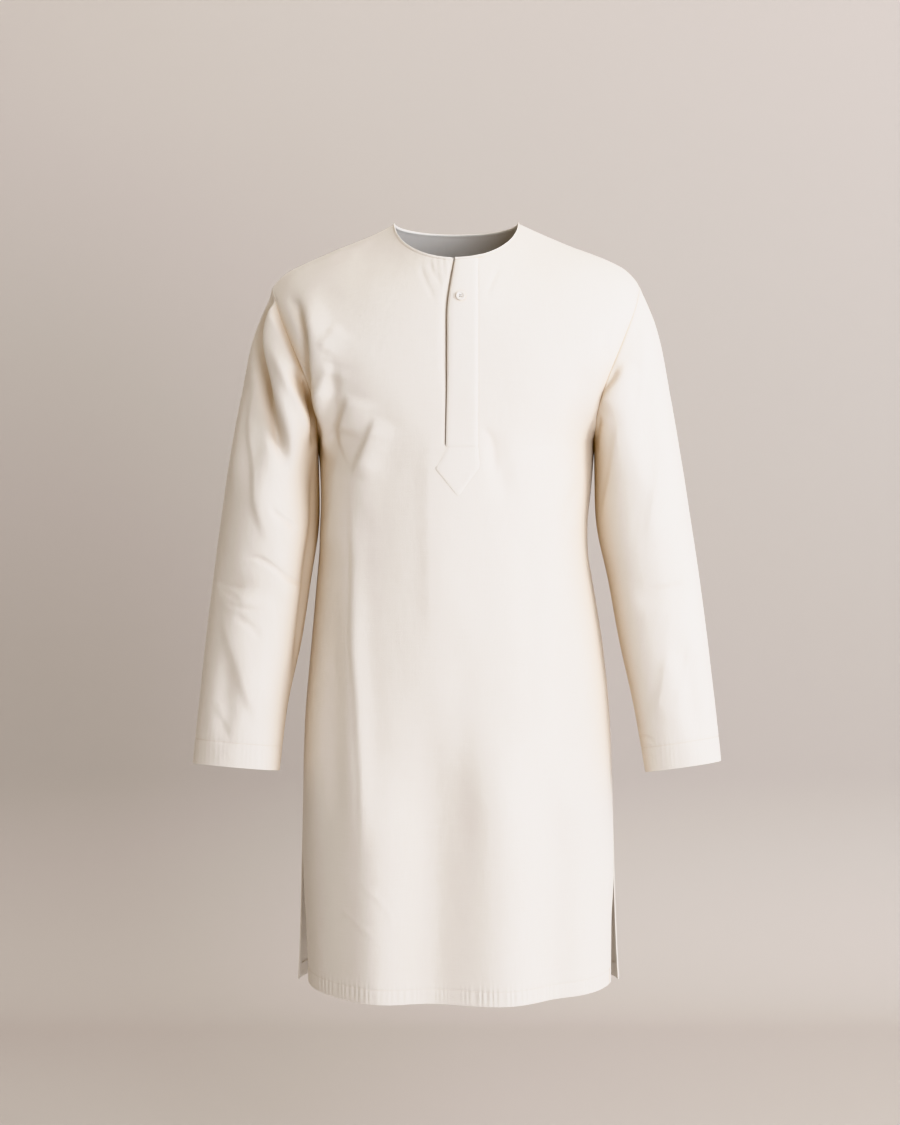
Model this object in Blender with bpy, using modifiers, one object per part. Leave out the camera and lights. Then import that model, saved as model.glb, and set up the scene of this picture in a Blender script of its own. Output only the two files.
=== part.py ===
"""Kurta tunic: a long, collarless cotton tunic, hollow as worn.

Metres, +Z up, the front faces -Y and the wearer's left is +X. The origin lies midway between the two
side neck points, at the level of the shoulder seams.

Two body panels, two set-in sleeves, a narrow neck binding, the two strips of the half placket and one
button. Every cloth piece is first a grid of points on its middle surface, worked out from the tables
below, and then a wall round that grid. Neighbouring pieces share the points of their seam, and each
stops half a seam gap short of it. Each sleeve is cut in one, but it is two solids that meet at the
elbow, so that a physics engine's convex pieces leave it open for the arm.
"""

import math
from collections import namedtuple

import bpy
import numpy as np
from mathutils import Vector

# ---------------------------------------------------------------- sizes
CLOTH = 0.0012  # wall of one layer of cloth
SEAM_GAP = 0.0003  # clearance between neighbouring pieces
LAID_GAP = 0.0004  # clearance of a strip that lies on a panel
HEM_LIFT = 0.0007  # extra thickness where cloth is turned up at a hem
BODY_HEM = 0.018  # depth of the hem round the skirt
CUFF_HEM = 0.030  # depth of the hem at each wrist
HEM_STEP = 0.0012  # height over which a turned-up hem gets its thickness

SHOULDER_ROWS = 7  # rows of faces along the shoulder seam
ARMHOLE_ROWS = 11  # along the armhole
SIDE_ROWS = 10  # from the underarm to the top of the side slit
SKIRT_ROWS = 8  # from the slit to the top of the hem
SLEEVE_ROWS = 24  # along a sleeve, above its hem
ELBOW_ROW = 13  # where a sleeve's upper and lower length meet
BACK_COLUMNS = 10  # columns of faces from the middle of the back to its edge
RIGHT_COLUMNS = 8  # from the gathers to the edge of the front, on the wearer's right
LEFT_COLUMNS = 9  # from the placket strip to the edge, on the wearer's left

FRONT_TIP_Z = -0.152  # the rows that start at the shoulder tips cross the middle of the front here
BACK_TIP_Z = -0.140
SHOULDER_ROUND = 1.5  # above 1, the cloth leaves the shoulder seam level and falls faster further down
SHOULDER_ROUND_SOON = 0.6  # the rounding is full this share of the way along the shoulder seam
SHOULDER_ROUND_LOST = 0.7  # and this much of it is lost down the armhole
SLIT_TURN = 9.0  # degrees by which the section has turned less at the hem, where the slits let it hang
UNDERARM_Z = -0.262
SLIT_TOP_Z = -0.6135  # side slits start here
HEM_Z = -0.943
HEM_CORNER_Z = -0.936  # the front hem's corners hang a little higher
BACK_CORNER_Z = -0.9405

PLACKET_END_Z = -0.2545  # bottom of the front opening
STRIP_EDGE_X = 0.0278  # sewn edge of the overlap strip
STRIP_COLUMNS = (0.0, 0.08, 0.38, 0.69, 1.0)  # across the strip, as shares of its width
POINT_SHOULDER_Z = -0.2810  # where the strip's pointed end is widest
POINT_SPREAD = 0.0143  # how far it spreads there, past the opening
POINT_TIP = (0.0028, -0.3180)  # x and z of its tip
UNDERLAP_IN = 0.012  # the underlap reaches this far to the wearer's right
UNDERLAP_OUT = 0.022  # and this far under the overlap
UNDERLAP_END_Z = -0.268
UNDERLAP_COLUMNS = 6
POINT_FLARE = 0.0024  # the strip's other side spreads this much at its pointed end
POINT_SIDE_STEPS = (0.5, 1.0)  # rows down to the widest place, as shares
POINT_TIP_STEPS = (0.33, 0.66, 0.98)  # and on to the tip, which stays a little blunt

GATHER_STEP = 0.0033  # half the spacing of the gathers beside the placket
GATHER_COUNT = 8  # half waves of gathers
GATHER_DEPTH = 0.0011
GATHER_LENGTH = 0.055  # the gathers fade over this height

BINDING_WIDTH = 0.0034
BINDING_HALF = 0.0009  # half its thickness
BINDING_LEAN = 0.55  # its outer face looks up by this much for each unit outwards
BINDING_FOOT = 0.6 * SEAM_GAP  # how far it starts above the panels' edge

BUTTON_X, BUTTON_Z = 0.0045, -0.0772
BUTTON_RADIUS = 0.0062
BUTTON_HEIGHT = 0.0026
BUTTON_HOLE = 0.0007
BUTTON_HOLE_SPREAD = 0.0016  # how far each of the four holes is from the button's middle
BUTTON_GAP = 0.0004  # between the button and the strip, which curves a little under it
BUTTON_SIDES, BUTTON_HOLE_SIDES = 24, 8
BUTTON_MERGE = 0.00005  # points of the turned profile that lie on its axis become one

CREAM = (0.86, 0.82, 0.75, 1.0)
CREAM_TRIM = (0.88, 0.84, 0.77, 1.0)
SHELL = (0.90, 0.86, 0.78, 1.0)
CLOTH_ROUGHNESS = 0.85
SHELL_ROUGHNESS = 0.35
SHARP_ANGLE = 50.0  # degrees, above which an edge is shaded sharp

# ---------------------------------------------------------------- tables
Line = namedtuple("Line", "z y square")  # a panel's centre line: depth, and how square the section is
FRONT_LINE = (
    Line(-0.0365, -0.0740, 1.00),
    Line(-0.0600, -0.0880, 1.00),
    Line(-0.0850, -0.0985, 0.98),
    Line(-0.1300, -0.1110, 0.95),
    Line(-0.1800, -0.1190, 0.92),
    Line(-0.2400, -0.1215, 0.88),
    Line(-0.3000, -0.1200, 0.80),
    Line(-0.3850, -0.1170, 0.72),
    Line(-0.5000, -0.1165, 0.68),
    Line(-0.6135, -0.1170, 0.66),
    Line(-0.7500, -0.1160, 0.66),
    Line(-0.8500, -0.1150, 0.68),
    Line(-0.9430, -0.1140, 0.70),
)
BACK_LINE = (
    Line(-0.0180, 0.0740, 1.00),
    Line(-0.0450, 0.0930, 1.00),
    Line(-0.0900, 0.1120, 0.96),
    Line(-0.1500, 0.1240, 0.92),
    Line(-0.2100, 0.1275, 0.88),
    Line(-0.2700, 0.1240, 0.84),
    Line(-0.3850, 0.1090, 0.76),
    Line(-0.4500, 0.1075, 0.74),
    Line(-0.5300, 0.1150, 0.72),
    Line(-0.6135, 0.1220, 0.70),
    Line(-0.7500, 0.1230, 0.70),
    Line(-0.9430, 0.1200, 0.72),
)
Opening = namedtuple("Opening", "z x gap_right gap_left")  # the front opening, and its two half gaps
OPENING = (
    Opening(-0.0365, -0.0020, 0.0022, 0.0016),
    Opening(-0.0600, -0.0062, 0.0030, 0.0018),
    Opening(-0.0830, -0.0098, 0.0029, 0.0020),
    Opening(-0.1300, -0.0110, 0.0026, 0.0020),
    Opening(-0.1800, -0.0113, 0.0021, 0.0018),
    Opening(-0.2545, -0.0128, 0.0012, 0.0012),
    Opening(-0.9430, -0.0128, 0.0012, 0.0012),
)
Shoulder = namedtuple("Shoulder", "x y z")
SHOULDER = {
    -1: (
        Shoulder(0.0772, 0.0060, 0.0000),
        Shoulder(0.1050, 0.0055, -0.0140),
        Shoulder(0.1420, 0.0045, -0.0285),
        Shoulder(0.1784, 0.0030, -0.0445),
        Shoulder(0.2030, 0.0015, -0.0555),
        Shoulder(0.2232, 0.0000, -0.0750),
    ),
    1: (
        Shoulder(0.0766, 0.0060, 0.0010),
        Shoulder(0.1060, 0.0055, -0.0125),
        Shoulder(0.1430, 0.0045, -0.0280),
        Shoulder(0.1800, 0.0030, -0.0415),
        Shoulder(0.2035, 0.0015, -0.0530),
        Shoulder(0.2210, 0.0000, -0.0725),
    ),
}
Armhole = namedtuple("Armhole", "x y z turn")  # turn: how far the panel has rounded there, degrees
FRONT_ARMHOLE = (
    Armhole(0.2185, -0.0190, -0.0900, 87.0),
    Armhole(0.2100, -0.0360, -0.1120, 82.0),
    Armhole(0.1990, -0.0480, -0.1390, 76.0),
    Armhole(0.1885, -0.0545, -0.1640, 73.0),
    Armhole(0.1785, -0.0550, -0.1900, 71.0),
    Armhole(0.1710, -0.0490, -0.2180, 72.0),
    Armhole(0.1690, -0.0300, -0.2450, 79.0),
)
BACK_ARMHOLE = (
    Armhole(0.2190, 0.0200, -0.0900, 88.0),
    Armhole(0.2140, 0.0390, -0.1120, 85.0),
    Armhole(0.2070, 0.0520, -0.1390, 80.0),
    Armhole(0.1985, 0.0585, -0.1680, 76.0),
    Armhole(0.1890, 0.0585, -0.1980, 75.0),
    Armhole(0.1795, 0.0495, -0.2270, 76.0),
    Armhole(0.1720, 0.0290, -0.2500, 81.0),
)
Flank = namedtuple("Flank", "z right left")  # half widths on each side, at the side seams
FLANK = (
    Flank(-0.2620, 0.1700, 0.1690),
    Flank(-0.3000, 0.1660, 0.1660),
    Flank(-0.3400, 0.1648, 0.1625),
    Flank(-0.3850, 0.1662, 0.1592),
    Flank(-0.4350, 0.1705, 0.1664),
    Flank(-0.5100, 0.1776, 0.1790),
    Flank(-0.6135, 0.1868, 0.1896),
    Flank(-0.7000, 0.1895, 0.1930),
    Flank(-0.8000, 0.1908, 0.1950),
    Flank(-0.9430, 0.1890, 0.1945),
)
SIDE_SEAM_Y = 0.0080
FRONT_SLIT_SHIFT = -0.0280  # below the slit the edges part, and this far they have moved at the hem
BACK_SLIT_SHIFT = 0.0050
BACK_FLARE = 0.0090  # how much wider than the front the back panel hangs at the hem

# Rings of the sleeves. Drop: how much lower the inner side is. Rise: how much higher the front is.
Ring = namedtuple("Ring", "z outer inner y half_depth drop rise")
SLEEVE_RINGS = {
    -1: (
        Ring(-0.3000, 0.2790, 0.1690, -0.0080, 0.0670, 0.004, 0.000),
        Ring(-0.3600, 0.2872, 0.1690, -0.0130, 0.0640, 0.005, 0.001),
        Ring(-0.4300, 0.2967, 0.1793, -0.0160, 0.0580, 0.006, 0.003),
        Ring(-0.5000, 0.3058, 0.1903, -0.0220, 0.0520, 0.007, 0.005),
        Ring(-0.5800, 0.3147, 0.2077, -0.0300, 0.0450, 0.008, 0.006),
        Ring(-0.6605, 0.3235, 0.2180, -0.0380, 0.0370, 0.009, 0.006),
    ),
    1: (
        Ring(-0.3000, 0.2770, 0.1695, -0.0080, 0.0670, 0.004, 0.000),
        Ring(-0.3600, 0.2860, 0.1718, -0.0130, 0.0640, 0.005, 0.001),
        Ring(-0.4300, 0.2967, 0.1868, -0.0160, 0.0590, 0.007, 0.003),
        Ring(-0.5000, 0.3065, 0.2000, -0.0220, 0.0540, 0.009, 0.005),
        Ring(-0.5800, 0.3157, 0.2182, -0.0300, 0.0480, 0.012, 0.006),
        Ring(-0.6600, 0.3245, 0.2328, -0.0380, 0.0425, 0.014, 0.007),
    ),
}
SLEEVE_LEAVES = 0.48  # how strongly a sleeve follows its own direction where it leaves the armhole
SLEEVE_JOINS = 1.05  # and where it joins its first full ring
SLEEVE_OUT, SLEEVE_ROUND, SLEEVE_LEVEL = 0.64, 0.36, 0.23  # that way: sideways, front to back, less down
SLEEVE_SAMPLES = 400
SLEEVE_HEAD = (0.0, 0.3, 0.65)  # places between the armhole and the first ring that the curve goes through

# A fold runs from (x0, z0) to (x1, z1). Lift is outwards, so a trough has a negative lift, and ends says
# which ends fade out: "both", or "top" for a fold that is still full at the hem.
Fold = namedtuple("Fold", "x0 z0 x1 z1 half_width lift ends")
FRONT_FOLDS = (
    Fold(-0.128, -0.340, -0.120, -0.800, 0.017, 0.0050, "both"),  # long pressed ridge
    Fold(-0.152, -0.420, -0.150, -0.760, 0.017, -0.0040, "both"),  # hollow beside it
    Fold(-0.150, -0.150, -0.140, -0.300, 0.020, -0.0050, "both"),  # hollow beside the armhole
    Fold(0.158, -0.150, 0.140, -0.270, 0.018, -0.0035, "both"),
    Fold(-0.120, -0.190, -0.108, -0.360, 0.018, 0.0030, "both"),
    Fold(0.042, -0.225, 0.060, -0.330, 0.012, -0.0025, "both"),  # beside the placket's end
    Fold(-0.100, -0.620, -0.098, -0.943, 0.040, 0.0110, "top"),  # skirt flutes
    Fold(-0.030, -0.600, -0.034, -0.943, 0.034, -0.0135, "top"),
    Fold(0.050, -0.560, 0.060, -0.943, 0.040, 0.0120, "top"),
    Fold(0.120, -0.640, 0.124, -0.943, 0.028, -0.0060, "top"),
    Fold(0.130, -0.420, 0.138, -0.700, 0.024, -0.0040, "both"),
)
BACK_FOLDS = (
    Fold(-0.070, -0.300, -0.085, -0.943, 0.030, 0.0080, "top"),
    Fold(0.000, -0.240, 0.004, -0.943, 0.032, -0.0090, "top"),
    Fold(0.078, -0.280, 0.080, -0.943, 0.030, 0.0085, "top"),
    Fold(-0.140, -0.160, -0.118, -0.300, 0.020, -0.0045, "both"),
    Fold(0.142, -0.160, 0.120, -0.310, 0.020, -0.0045, "both"),
    Fold(-0.135, -0.380, -0.140, -0.943, 0.022, -0.0050, "top"),
    Fold(0.138, -0.420, 0.142, -0.943, 0.022, -0.0050, "top"),
)
# On a sleeve the first number of each pair is an angle round it in degrees: 0 outside, 90 in front.
SLEEVE_FOLDS = {
    -1: (
        Fold(38.0, -0.130, 74.0, -0.330, 17.0, -0.0060, "both"),  # trough from the shoulder
        Fold(16.0, -0.190, 40.0, -0.330, 13.0, 0.0030, "both"),
        Fold(20.0, -0.425, 150.0, -0.455, 0.0, -0.0045, "both"),  # elbow wrinkles
        Fold(30.0, -0.452, 160.0, -0.440, 0.0, 0.0040, "both"),
        Fold(60.0, -0.500, 76.0, -0.640, 15.0, -0.0045, "both"),  # forearm
        Fold(230.0, -0.430, 330.0, -0.440, 0.0, -0.0040, "both"),
        Fold(290.0, -0.180, 262.0, -0.340, 18.0, -0.0060, "both"),
    ),
    1: (
        Fold(52.0, -0.150, 76.0, -0.330, 18.0, -0.0045, "both"),
        Fold(30.0, -0.437, 130.0, -0.450, 0.0, -0.0035, "both"),
        Fold(70.0, -0.470, 62.0, -0.640, 17.0, -0.0040, "both"),
        Fold(230.0, -0.430, 330.0, -0.445, 0.0, -0.0040, "both"),
        Fold(288.0, -0.180, 264.0, -0.340, 18.0, -0.0060, "both"),
    ),
}
WRINKLE_HALF = 0.014  # half height of a fold that runs round a sleeve
SEAM_CALM = 0.020  # folds fade out over this distance from a seam
SLIT_CALM = 0.6  # and by this much at the free edges beside the slits
FOLD_TOP_FADE, FOLD_END_FADE = 0.40, 0.35  # shares of its length over which a fold fades
EDGE_SPREAD = 9  # the corners of the armhole stay within the outer ninth or so of each row
CORNER_ROUND = 0.030  # inside that, they are rounded over this length
NEAR_ROW, NEAR_ANGLE = 0.2, 0.02  # steps, in rows and radians, for finding which way the cloth faces

Corner = namedtuple("Corner", "up out")  # the binding's section, as shares of its width and half thickness
BINDING_SECTION = (
    Corner(0.00, 1.00),
    Corner(0.55, 1.00),
    Corner(1.00, 0.45),
    Corner(1.00, -0.45),
    Corner(0.55, -1.00),
    Corner(0.00, -1.00),
)
Turned = namedtuple("Turned", "reach rise")  # the button's profile, as shares of its radius and height
BUTTON_PROFILE = (
    Turned(0.00, 0.62),
    Turned(0.64, 0.62),
    Turned(0.74, 0.98),
    Turned(0.90, 1.00),
    Turned(1.00, 0.66),
    Turned(0.97, 0.20),
    Turned(0.84, 0.00),
    Turned(0.00, 0.00),
)


# ---------------------------------------------------------------- curves
def column(table, name):
    return np.array([getattr(row, name) for row in table])


def spline(knots, values, at):
    """A smooth curve through values at rising knots, read at the places at."""
    knots, values, at = np.asarray(knots, float), np.asarray(values, float), np.asarray(at, float)
    steps = np.diff(knots)
    slopes = (np.diff(values, axis=0).T / steps).T
    inner = ((slopes[:-1].T * steps[1:] + slopes[1:].T * steps[:-1]) / (steps[1:] + steps[:-1])).T
    tangents = np.concatenate([slopes[:1], inner, slopes[-1:]])
    place = np.clip(np.searchsorted(knots, at, side="right") - 1, 0, len(steps) - 1)
    step = steps[place]
    t = (at - knots[place]) / step
    from_start, to_end = values[place].T, values[place + 1].T
    leaving, arriving = tangents[place].T * step, tangents[place + 1].T * step
    return hermite(from_start, leaving, to_end, arriving, t).T


def hermite(start, leaving, end, arriving, t):
    """The cubic from start to end with the given directions at its ends."""
    cube, square = t**3, t**2
    ends = start * (2 * cube - 3 * square + 1) + end * (3 * square - 2 * cube)
    return ends + leaving * (cube - 2 * square + t) + arriving * (cube - square)


def by_height(table, name, z):
    """A table's column at the heights z. The table runs downwards."""
    return spline(-column(table, "z"), column(table, name), -np.asarray(z, float))


def evened(points, count):
    """count + 1 points at equal distances along a polyline."""
    lengths = np.concatenate([[0], np.cumsum(np.linalg.norm(np.diff(points, axis=0), axis=1))])
    wanted = np.linspace(0, lengths[-1], count + 1)
    return np.stack([np.interp(wanted, lengths, points[:, axis]) for axis in range(3)], axis=1)


def through(points, count):
    """count + 1 evenly spaced points on a smooth curve through a few points."""
    points = np.asarray(points, float)
    knots = np.concatenate([[0], np.cumsum(np.linalg.norm(np.diff(points, axis=0), axis=1))])
    return evened(spline(knots, points, np.linspace(0, knots[-1], 200)), count)


def rounded(values, knots, length):
    """Values evened out over a length, with their two ends kept."""
    dense = np.linspace(knots[0], knots[-1], 601)
    filled = np.stack([np.interp(dense, knots, line) for line in values.T], axis=1)
    reach = int(3 * length / (dense[1] - dense[0]))
    before, after = 2 * filled[0] - filled[reach:0:-1], 2 * filled[-1] - filled[-2 : -reach - 2 : -1]
    padded = np.concatenate([before, filled, after])
    weights = np.exp(-0.5 * (np.arange(-reach, reach + 1) * (dense[1] - dense[0]) / length) ** 2)
    weights /= weights.sum()
    smooth = [np.convolve(line, weights, "valid") for line in padded.T]
    return np.stack([np.interp(knots, dense, line) for line in smooth], axis=1)


def eased(t):
    t = np.clip(t, 0.0, 1.0)
    return t * t * (3 - 2 * t)


def lift_of(folds, across, down, half_height=0.0):
    """How far the folds move the cloth outwards, at places given across and down."""
    total = np.zeros(np.shape(across))
    for fold in folds:
        if fold.half_width > 0:
            t = (down - fold.z0) / (fold.z1 - fold.z0)
            middle = fold.x0 + (fold.x1 - fold.x0) * np.clip(t, 0, 1)
            shape = np.exp(-(((across - middle) / fold.half_width) ** 2))
        else:
            t = (across - fold.x0) / (fold.x1 - fold.x0)
            middle = fold.z0 + (fold.z1 - fold.z0) * np.clip(t, 0, 1)
            shape = np.exp(-(((down - middle) / half_height) ** 2))
        if fold.ends == "top":
            fade = eased(t / FOLD_TOP_FADE)
        else:
            fade = eased(t / FOLD_END_FADE) * eased((1 - t) / FOLD_END_FADE)
        total = total + fold.lift * shape * fade
    return total


# ---------------------------------------------------------------- seams that the pieces share
def shoulder_seam(side):
    rows = SHOULDER[side]
    return through([(side * row.x, row.y, row.z) for row in rows], SHOULDER_ROWS)


def armhole_seam(side, table):
    tip = SHOULDER[side][-1]
    under = FLANK[0]
    reach = under.right if side < 0 else under.left
    points = [(side * tip.x, tip.y, tip.z)]
    points += [(side * row.x, row.y, row.z) for row in table]
    points.append((side * reach, SIDE_SEAM_Y, UNDERARM_Z))
    return through(points, ARMHOLE_ROWS)


def side_levels():
    """Heights of the rows from the underarm to the hem, without the underarm's own."""
    upper = np.linspace(UNDERARM_Z, SLIT_TOP_Z, SIDE_ROWS + 1)[1:]
    hem_top = HEM_Z + BODY_HEM
    lower = np.linspace(SLIT_TOP_Z, hem_top, SKIRT_ROWS + 1)[1:]
    return np.concatenate([upper, lower, [hem_top - HEM_STEP, HEM_Z]])


def below_slit(z):
    return eased((SLIT_TOP_Z - z) / (SLIT_TOP_Z - HEM_Z))


def flank_edge(side, front):
    """A panel's edge from just below the underarm to the hem."""
    z = side_levels()
    parted = np.clip((SLIT_TOP_Z - z) / (SLIT_TOP_Z - HEM_Z), 0, 1)
    reach = by_height(FLANK, "right" if side < 0 else "left", z)
    depth = SIDE_SEAM_Y + (FRONT_SLIT_SHIFT if front else BACK_SLIT_SHIFT) * parted
    corner = HEM_CORNER_Z if front else BACK_CORNER_Z
    if not front:
        reach = reach + BACK_FLARE * parted**3
    height = z + (corner - HEM_Z) * below_slit(z)
    return np.stack([side * reach, depth, height], axis=1)


class Panel:
    """The front or the back: rows of points from the neckline down to the hem."""

    def __init__(self, front):
        self.front = front
        self.line = FRONT_LINE if front else BACK_LINE
        self.table = FRONT_ARMHOLE if front else BACK_ARMHOLE
        self.folds = FRONT_FOLDS if front else BACK_FOLDS
        self.edges = {side: self.edge(side) for side in (-1, 1)}
        self.centre_z = self.centre_heights()
        gaps = np.linalg.norm(np.diff(self.edges[-1], axis=0), axis=1)
        self.knots = np.concatenate([[0], np.cumsum(gaps)])
        self.inner = {side: rounded(self.edges[side], self.knots, CORNER_ROUND) for side in (-1, 1)}
        self.turns = rounded(self.edge_turns()[:, None], self.knots, CORNER_ROUND)[:, 0]
        self.squares = by_height(self.line, "square", self.centre_z)
        places = np.arange(len(self.centre_z)) / SHOULDER_ROWS
        lost = SHOULDER_ROUND_LOST * eased((places - 1) * SHOULDER_ROWS / ARMHOLE_ROWS)
        self.rounds = 1 + (SHOULDER_ROUND - 1) * eased(places / SHOULDER_ROUND_SOON) * (1 - lost)
        self.centre_y = by_height(self.line, "y", self.centre_z)
        self.centre_x = by_height(OPENING, "x", self.centre_z) if front else 0 * self.centre_z

    def edge(self, side):
        shoulder = shoulder_seam(side)
        armhole = armhole_seam(side, self.table)
        return np.concatenate([shoulder, armhole[1:], flank_edge(side, self.front)])

    def edge_turns(self):
        """How far round the section has turned at the edge of each row, degrees."""
        places = np.linspace(0, 1, len(self.table) + 2)
        values = np.concatenate([[90.0], column(self.table, "turn"), [90.0]])
        armhole = spline(places, values, np.linspace(0, 1, ARMHOLE_ROWS + 1))
        skirt = 90.0 - SLIT_TURN * below_slit(side_levels())
        return np.concatenate([np.full(SHOULDER_ROWS, 90.0), armhole, skirt])

    def centre_heights(self):
        top = self.line[0].z
        tip = FRONT_TIP_Z if self.front else BACK_TIP_Z
        shoulder = np.linspace(top, tip, SHOULDER_ROWS + 1)
        armhole = np.linspace(tip, PLACKET_END_Z, ARMHOLE_ROWS)[1:]
        return np.concatenate([shoulder, armhole, [UNDERARM_Z], side_levels()])

    def row_at(self, z):
        """The row, with its fraction, whose centre lies at the height z."""
        return float(np.interp(-z, -self.centre_z, np.arange(len(self.centre_z))))

    def of_row(self, values, row):
        low = min(int(row), len(values) - 2)
        return values[low] + (values[low + 1] - values[low]) * (row - low)

    def angle_of(self, row, side, x):
        """The angle at which a row passes the place x."""
        turn = math.radians(self.of_row(self.turns, row))
        middle = self.of_row(self.centre_x, row)
        reach = self.of_row(self.inner[side], row)[0] - middle
        share = np.clip((x - middle) / reach, 0, 1)
        return np.arcsin(share * math.sin(turn))

    def point(self, row, side, angles):
        """Points of a row at angles from its centre, without folds."""
        turn = math.radians(self.of_row(self.turns, row))
        square = self.of_row(self.squares, row)
        lines = (self.centre_x, self.centre_y, self.centre_z)
        centre = np.array([self.of_row(values, row) for values in lines])
        inner, edge = self.of_row(self.inner[side], row), self.of_row(self.edges[side], row)
        angles = np.asarray(angles, float)
        out = np.sin(angles) / math.sin(turn)
        floor = max(math.cos(turn), 0.0) ** square
        back = (1 - np.maximum(np.cos(angles), 0) ** square) / (1 - floor)
        fall = square * self.of_row(self.rounds, row)
        down = (1 - np.maximum(np.cos(angles), 0) ** fall) / (1 - max(math.cos(turn), 0.0) ** fall)
        blend = np.stack([out, back, down], axis=-1)
        near_edge = (angles / turn)[..., None] ** EDGE_SPREAD
        return centre + (inner - centre) * blend + (edge - inner) * near_edge

    def calm(self, points, side, row):
        """Folds fade to nothing at the seams, and stay full at the hem and its slits."""
        edge = self.of_row(self.edges[side], row)
        z = self.of_row(self.centre_z, row)
        near = eased(np.linalg.norm(points - edge, axis=-1) / SEAM_CALM)
        free = math.sqrt(below_slit(z)) * (1 - SLIT_CALM)
        return near + (1 - near) * free

    def gathers(self, points):
        """Small gathers where the front is eased in beside its opening."""
        if not self.front:
            return 0.0
        z = points[..., 2]
        away = by_height(OPENING, "x", z) - points[..., 0]
        wave = -np.cos(math.pi * away / GATHER_STEP)
        spread = eased(away / GATHER_STEP) * eased((GATHER_COUNT + 0.5) - away / GATHER_STEP)
        return GATHER_DEPTH * wave * spread * eased(1 - (FRONT_LINE[0].z - z) / GATHER_LENGTH)

    def settled(self, row, side, angles):
        """Points of a row with the folds in them."""
        flat = self.point(row, side, angles)
        ahead = self.point(row, side, np.asarray(angles) + NEAR_ANGLE) - flat
        lower, upper = min(row + NEAR_ROW, len(self.centre_z) - 1), max(row - NEAR_ROW, 0)
        down = self.point(lower, side, angles) - self.point(upper, side, angles)
        normal = np.cross(ahead, down)
        normal /= np.linalg.norm(normal, axis=-1, keepdims=True) + 1e-12
        outward = (normal * flat * (1, 1, 0)).sum(axis=-1, keepdims=True)
        normal *= np.where(outward < 0, -1, 1)
        lift = lift_of(self.folds, flat[..., 0], flat[..., 2]) * self.calm(flat, side, row)
        return flat + normal * (lift + self.gathers(flat))[..., None]

    def facing(self, row, side, angle):
        """A point of the cloth and its outward direction there."""
        here, near = self.settled(row, side, np.array([angle, angle + NEAR_ANGLE]))
        below = self.settled(row + NEAR_ROW, side, np.array([angle]))[0]
        normal = np.cross(near - here, below - here)
        forward = -1 if self.front else 1
        return here, normal / np.linalg.norm(normal) * math.copysign(1.0, normal[1] * forward)


# ---------------------------------------------------------------- cloth pieces
class Cloth:
    """A piece of cloth: points on its middle surface, its faces, and how thick it is at each point."""

    def __init__(self, name, points, faces, extra=None):
        self.name = name
        self.points = np.asarray(points, float)
        self.faces = faces
        self.extra = np.zeros(len(self.points)) if extra is None else np.asarray(extra, float)
        self.normals = self.own_normals()

    def own_normals(self):
        corners = self.points[np.array(self.faces)]
        across = np.cross(corners[:, 2] - corners[:, 0], corners[:, 3] - corners[:, 1])
        sums = np.zeros_like(self.points)
        for corner in range(4):
            np.add.at(sums, np.array(self.faces)[:, corner], across)
        return sums / np.linalg.norm(sums, axis=1, keepdims=True)

    def border(self):
        """Each border edge once, as its face runs along it."""
        edges = {}
        for face in self.faces:
            for start, end in zip(face, face[1:] + face[:1]):
                edges[start, end] = True
        return [(start, end) for start, end in edges if (end, start) not in edges]

    def drawn_back(self):
        """The points with the border half a seam gap short of the seam."""
        inward = np.zeros_like(self.points)
        for start, end in self.border():
            along = self.points[end] - self.points[start]
            across = np.cross(self.normals[start] + self.normals[end], along)
            across /= np.linalg.norm(across)
            inward[start] += across
            inward[end] += across
        size = np.linalg.norm(inward, axis=1, keepdims=True)
        # Two edges meet at a border point: on a straight border their directions add up to 2.
        return self.points + SEAM_GAP * inward / np.maximum(size, 1e-9) ** 2 * (size > 0)

    def build(self, material):
        """The wall: an outer and an inner face, joined round the border."""
        middle = self.drawn_back()
        outer = middle + self.normals * (CLOTH / 2 + self.extra)[:, None]
        inner = middle - self.normals * (CLOTH / 2)
        count = len(middle)
        faces = [tuple(face) for face in self.faces]
        faces += [tuple(corner + count for corner in reversed(face)) for face in self.faces]
        faces += [(end, start, start + count, end + count) for start, end in self.border()]
        return add_mesh(self.name, np.concatenate([outer, inner]), faces, material)


def share_seam_normals(pieces):
    """Where pieces meet, their walls lean the same way, so that the gap between them stays even."""
    sums = {}
    for piece in pieces:
        for point, normal in zip(piece.points, piece.normals):
            key = tuple(np.round(point, 6))
            sums[key] = sums.get(key, 0) + normal
    for piece in pieces:
        shared = np.array([sums[tuple(np.round(point, 6))] for point in piece.points])
        piece.normals = shared / np.linalg.norm(shared, axis=1, keepdims=True)


def grid_faces(index, flip):
    """Faces of a grid of point numbers, rows running down."""
    faces = []
    for row in range(index.shape[0] - 1):
        for place in range(index.shape[1] - 1):
            below = row + 1
            face = [index[row, place], index[below, place], index[below, place + 1], index[row, place + 1]]
            faces.append([int(corner) for corner in (reversed(face) if flip else face)])
    return faces


def slit_row(panel):
    return int(round(panel.row_at(PLACKET_END_Z)))


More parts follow.
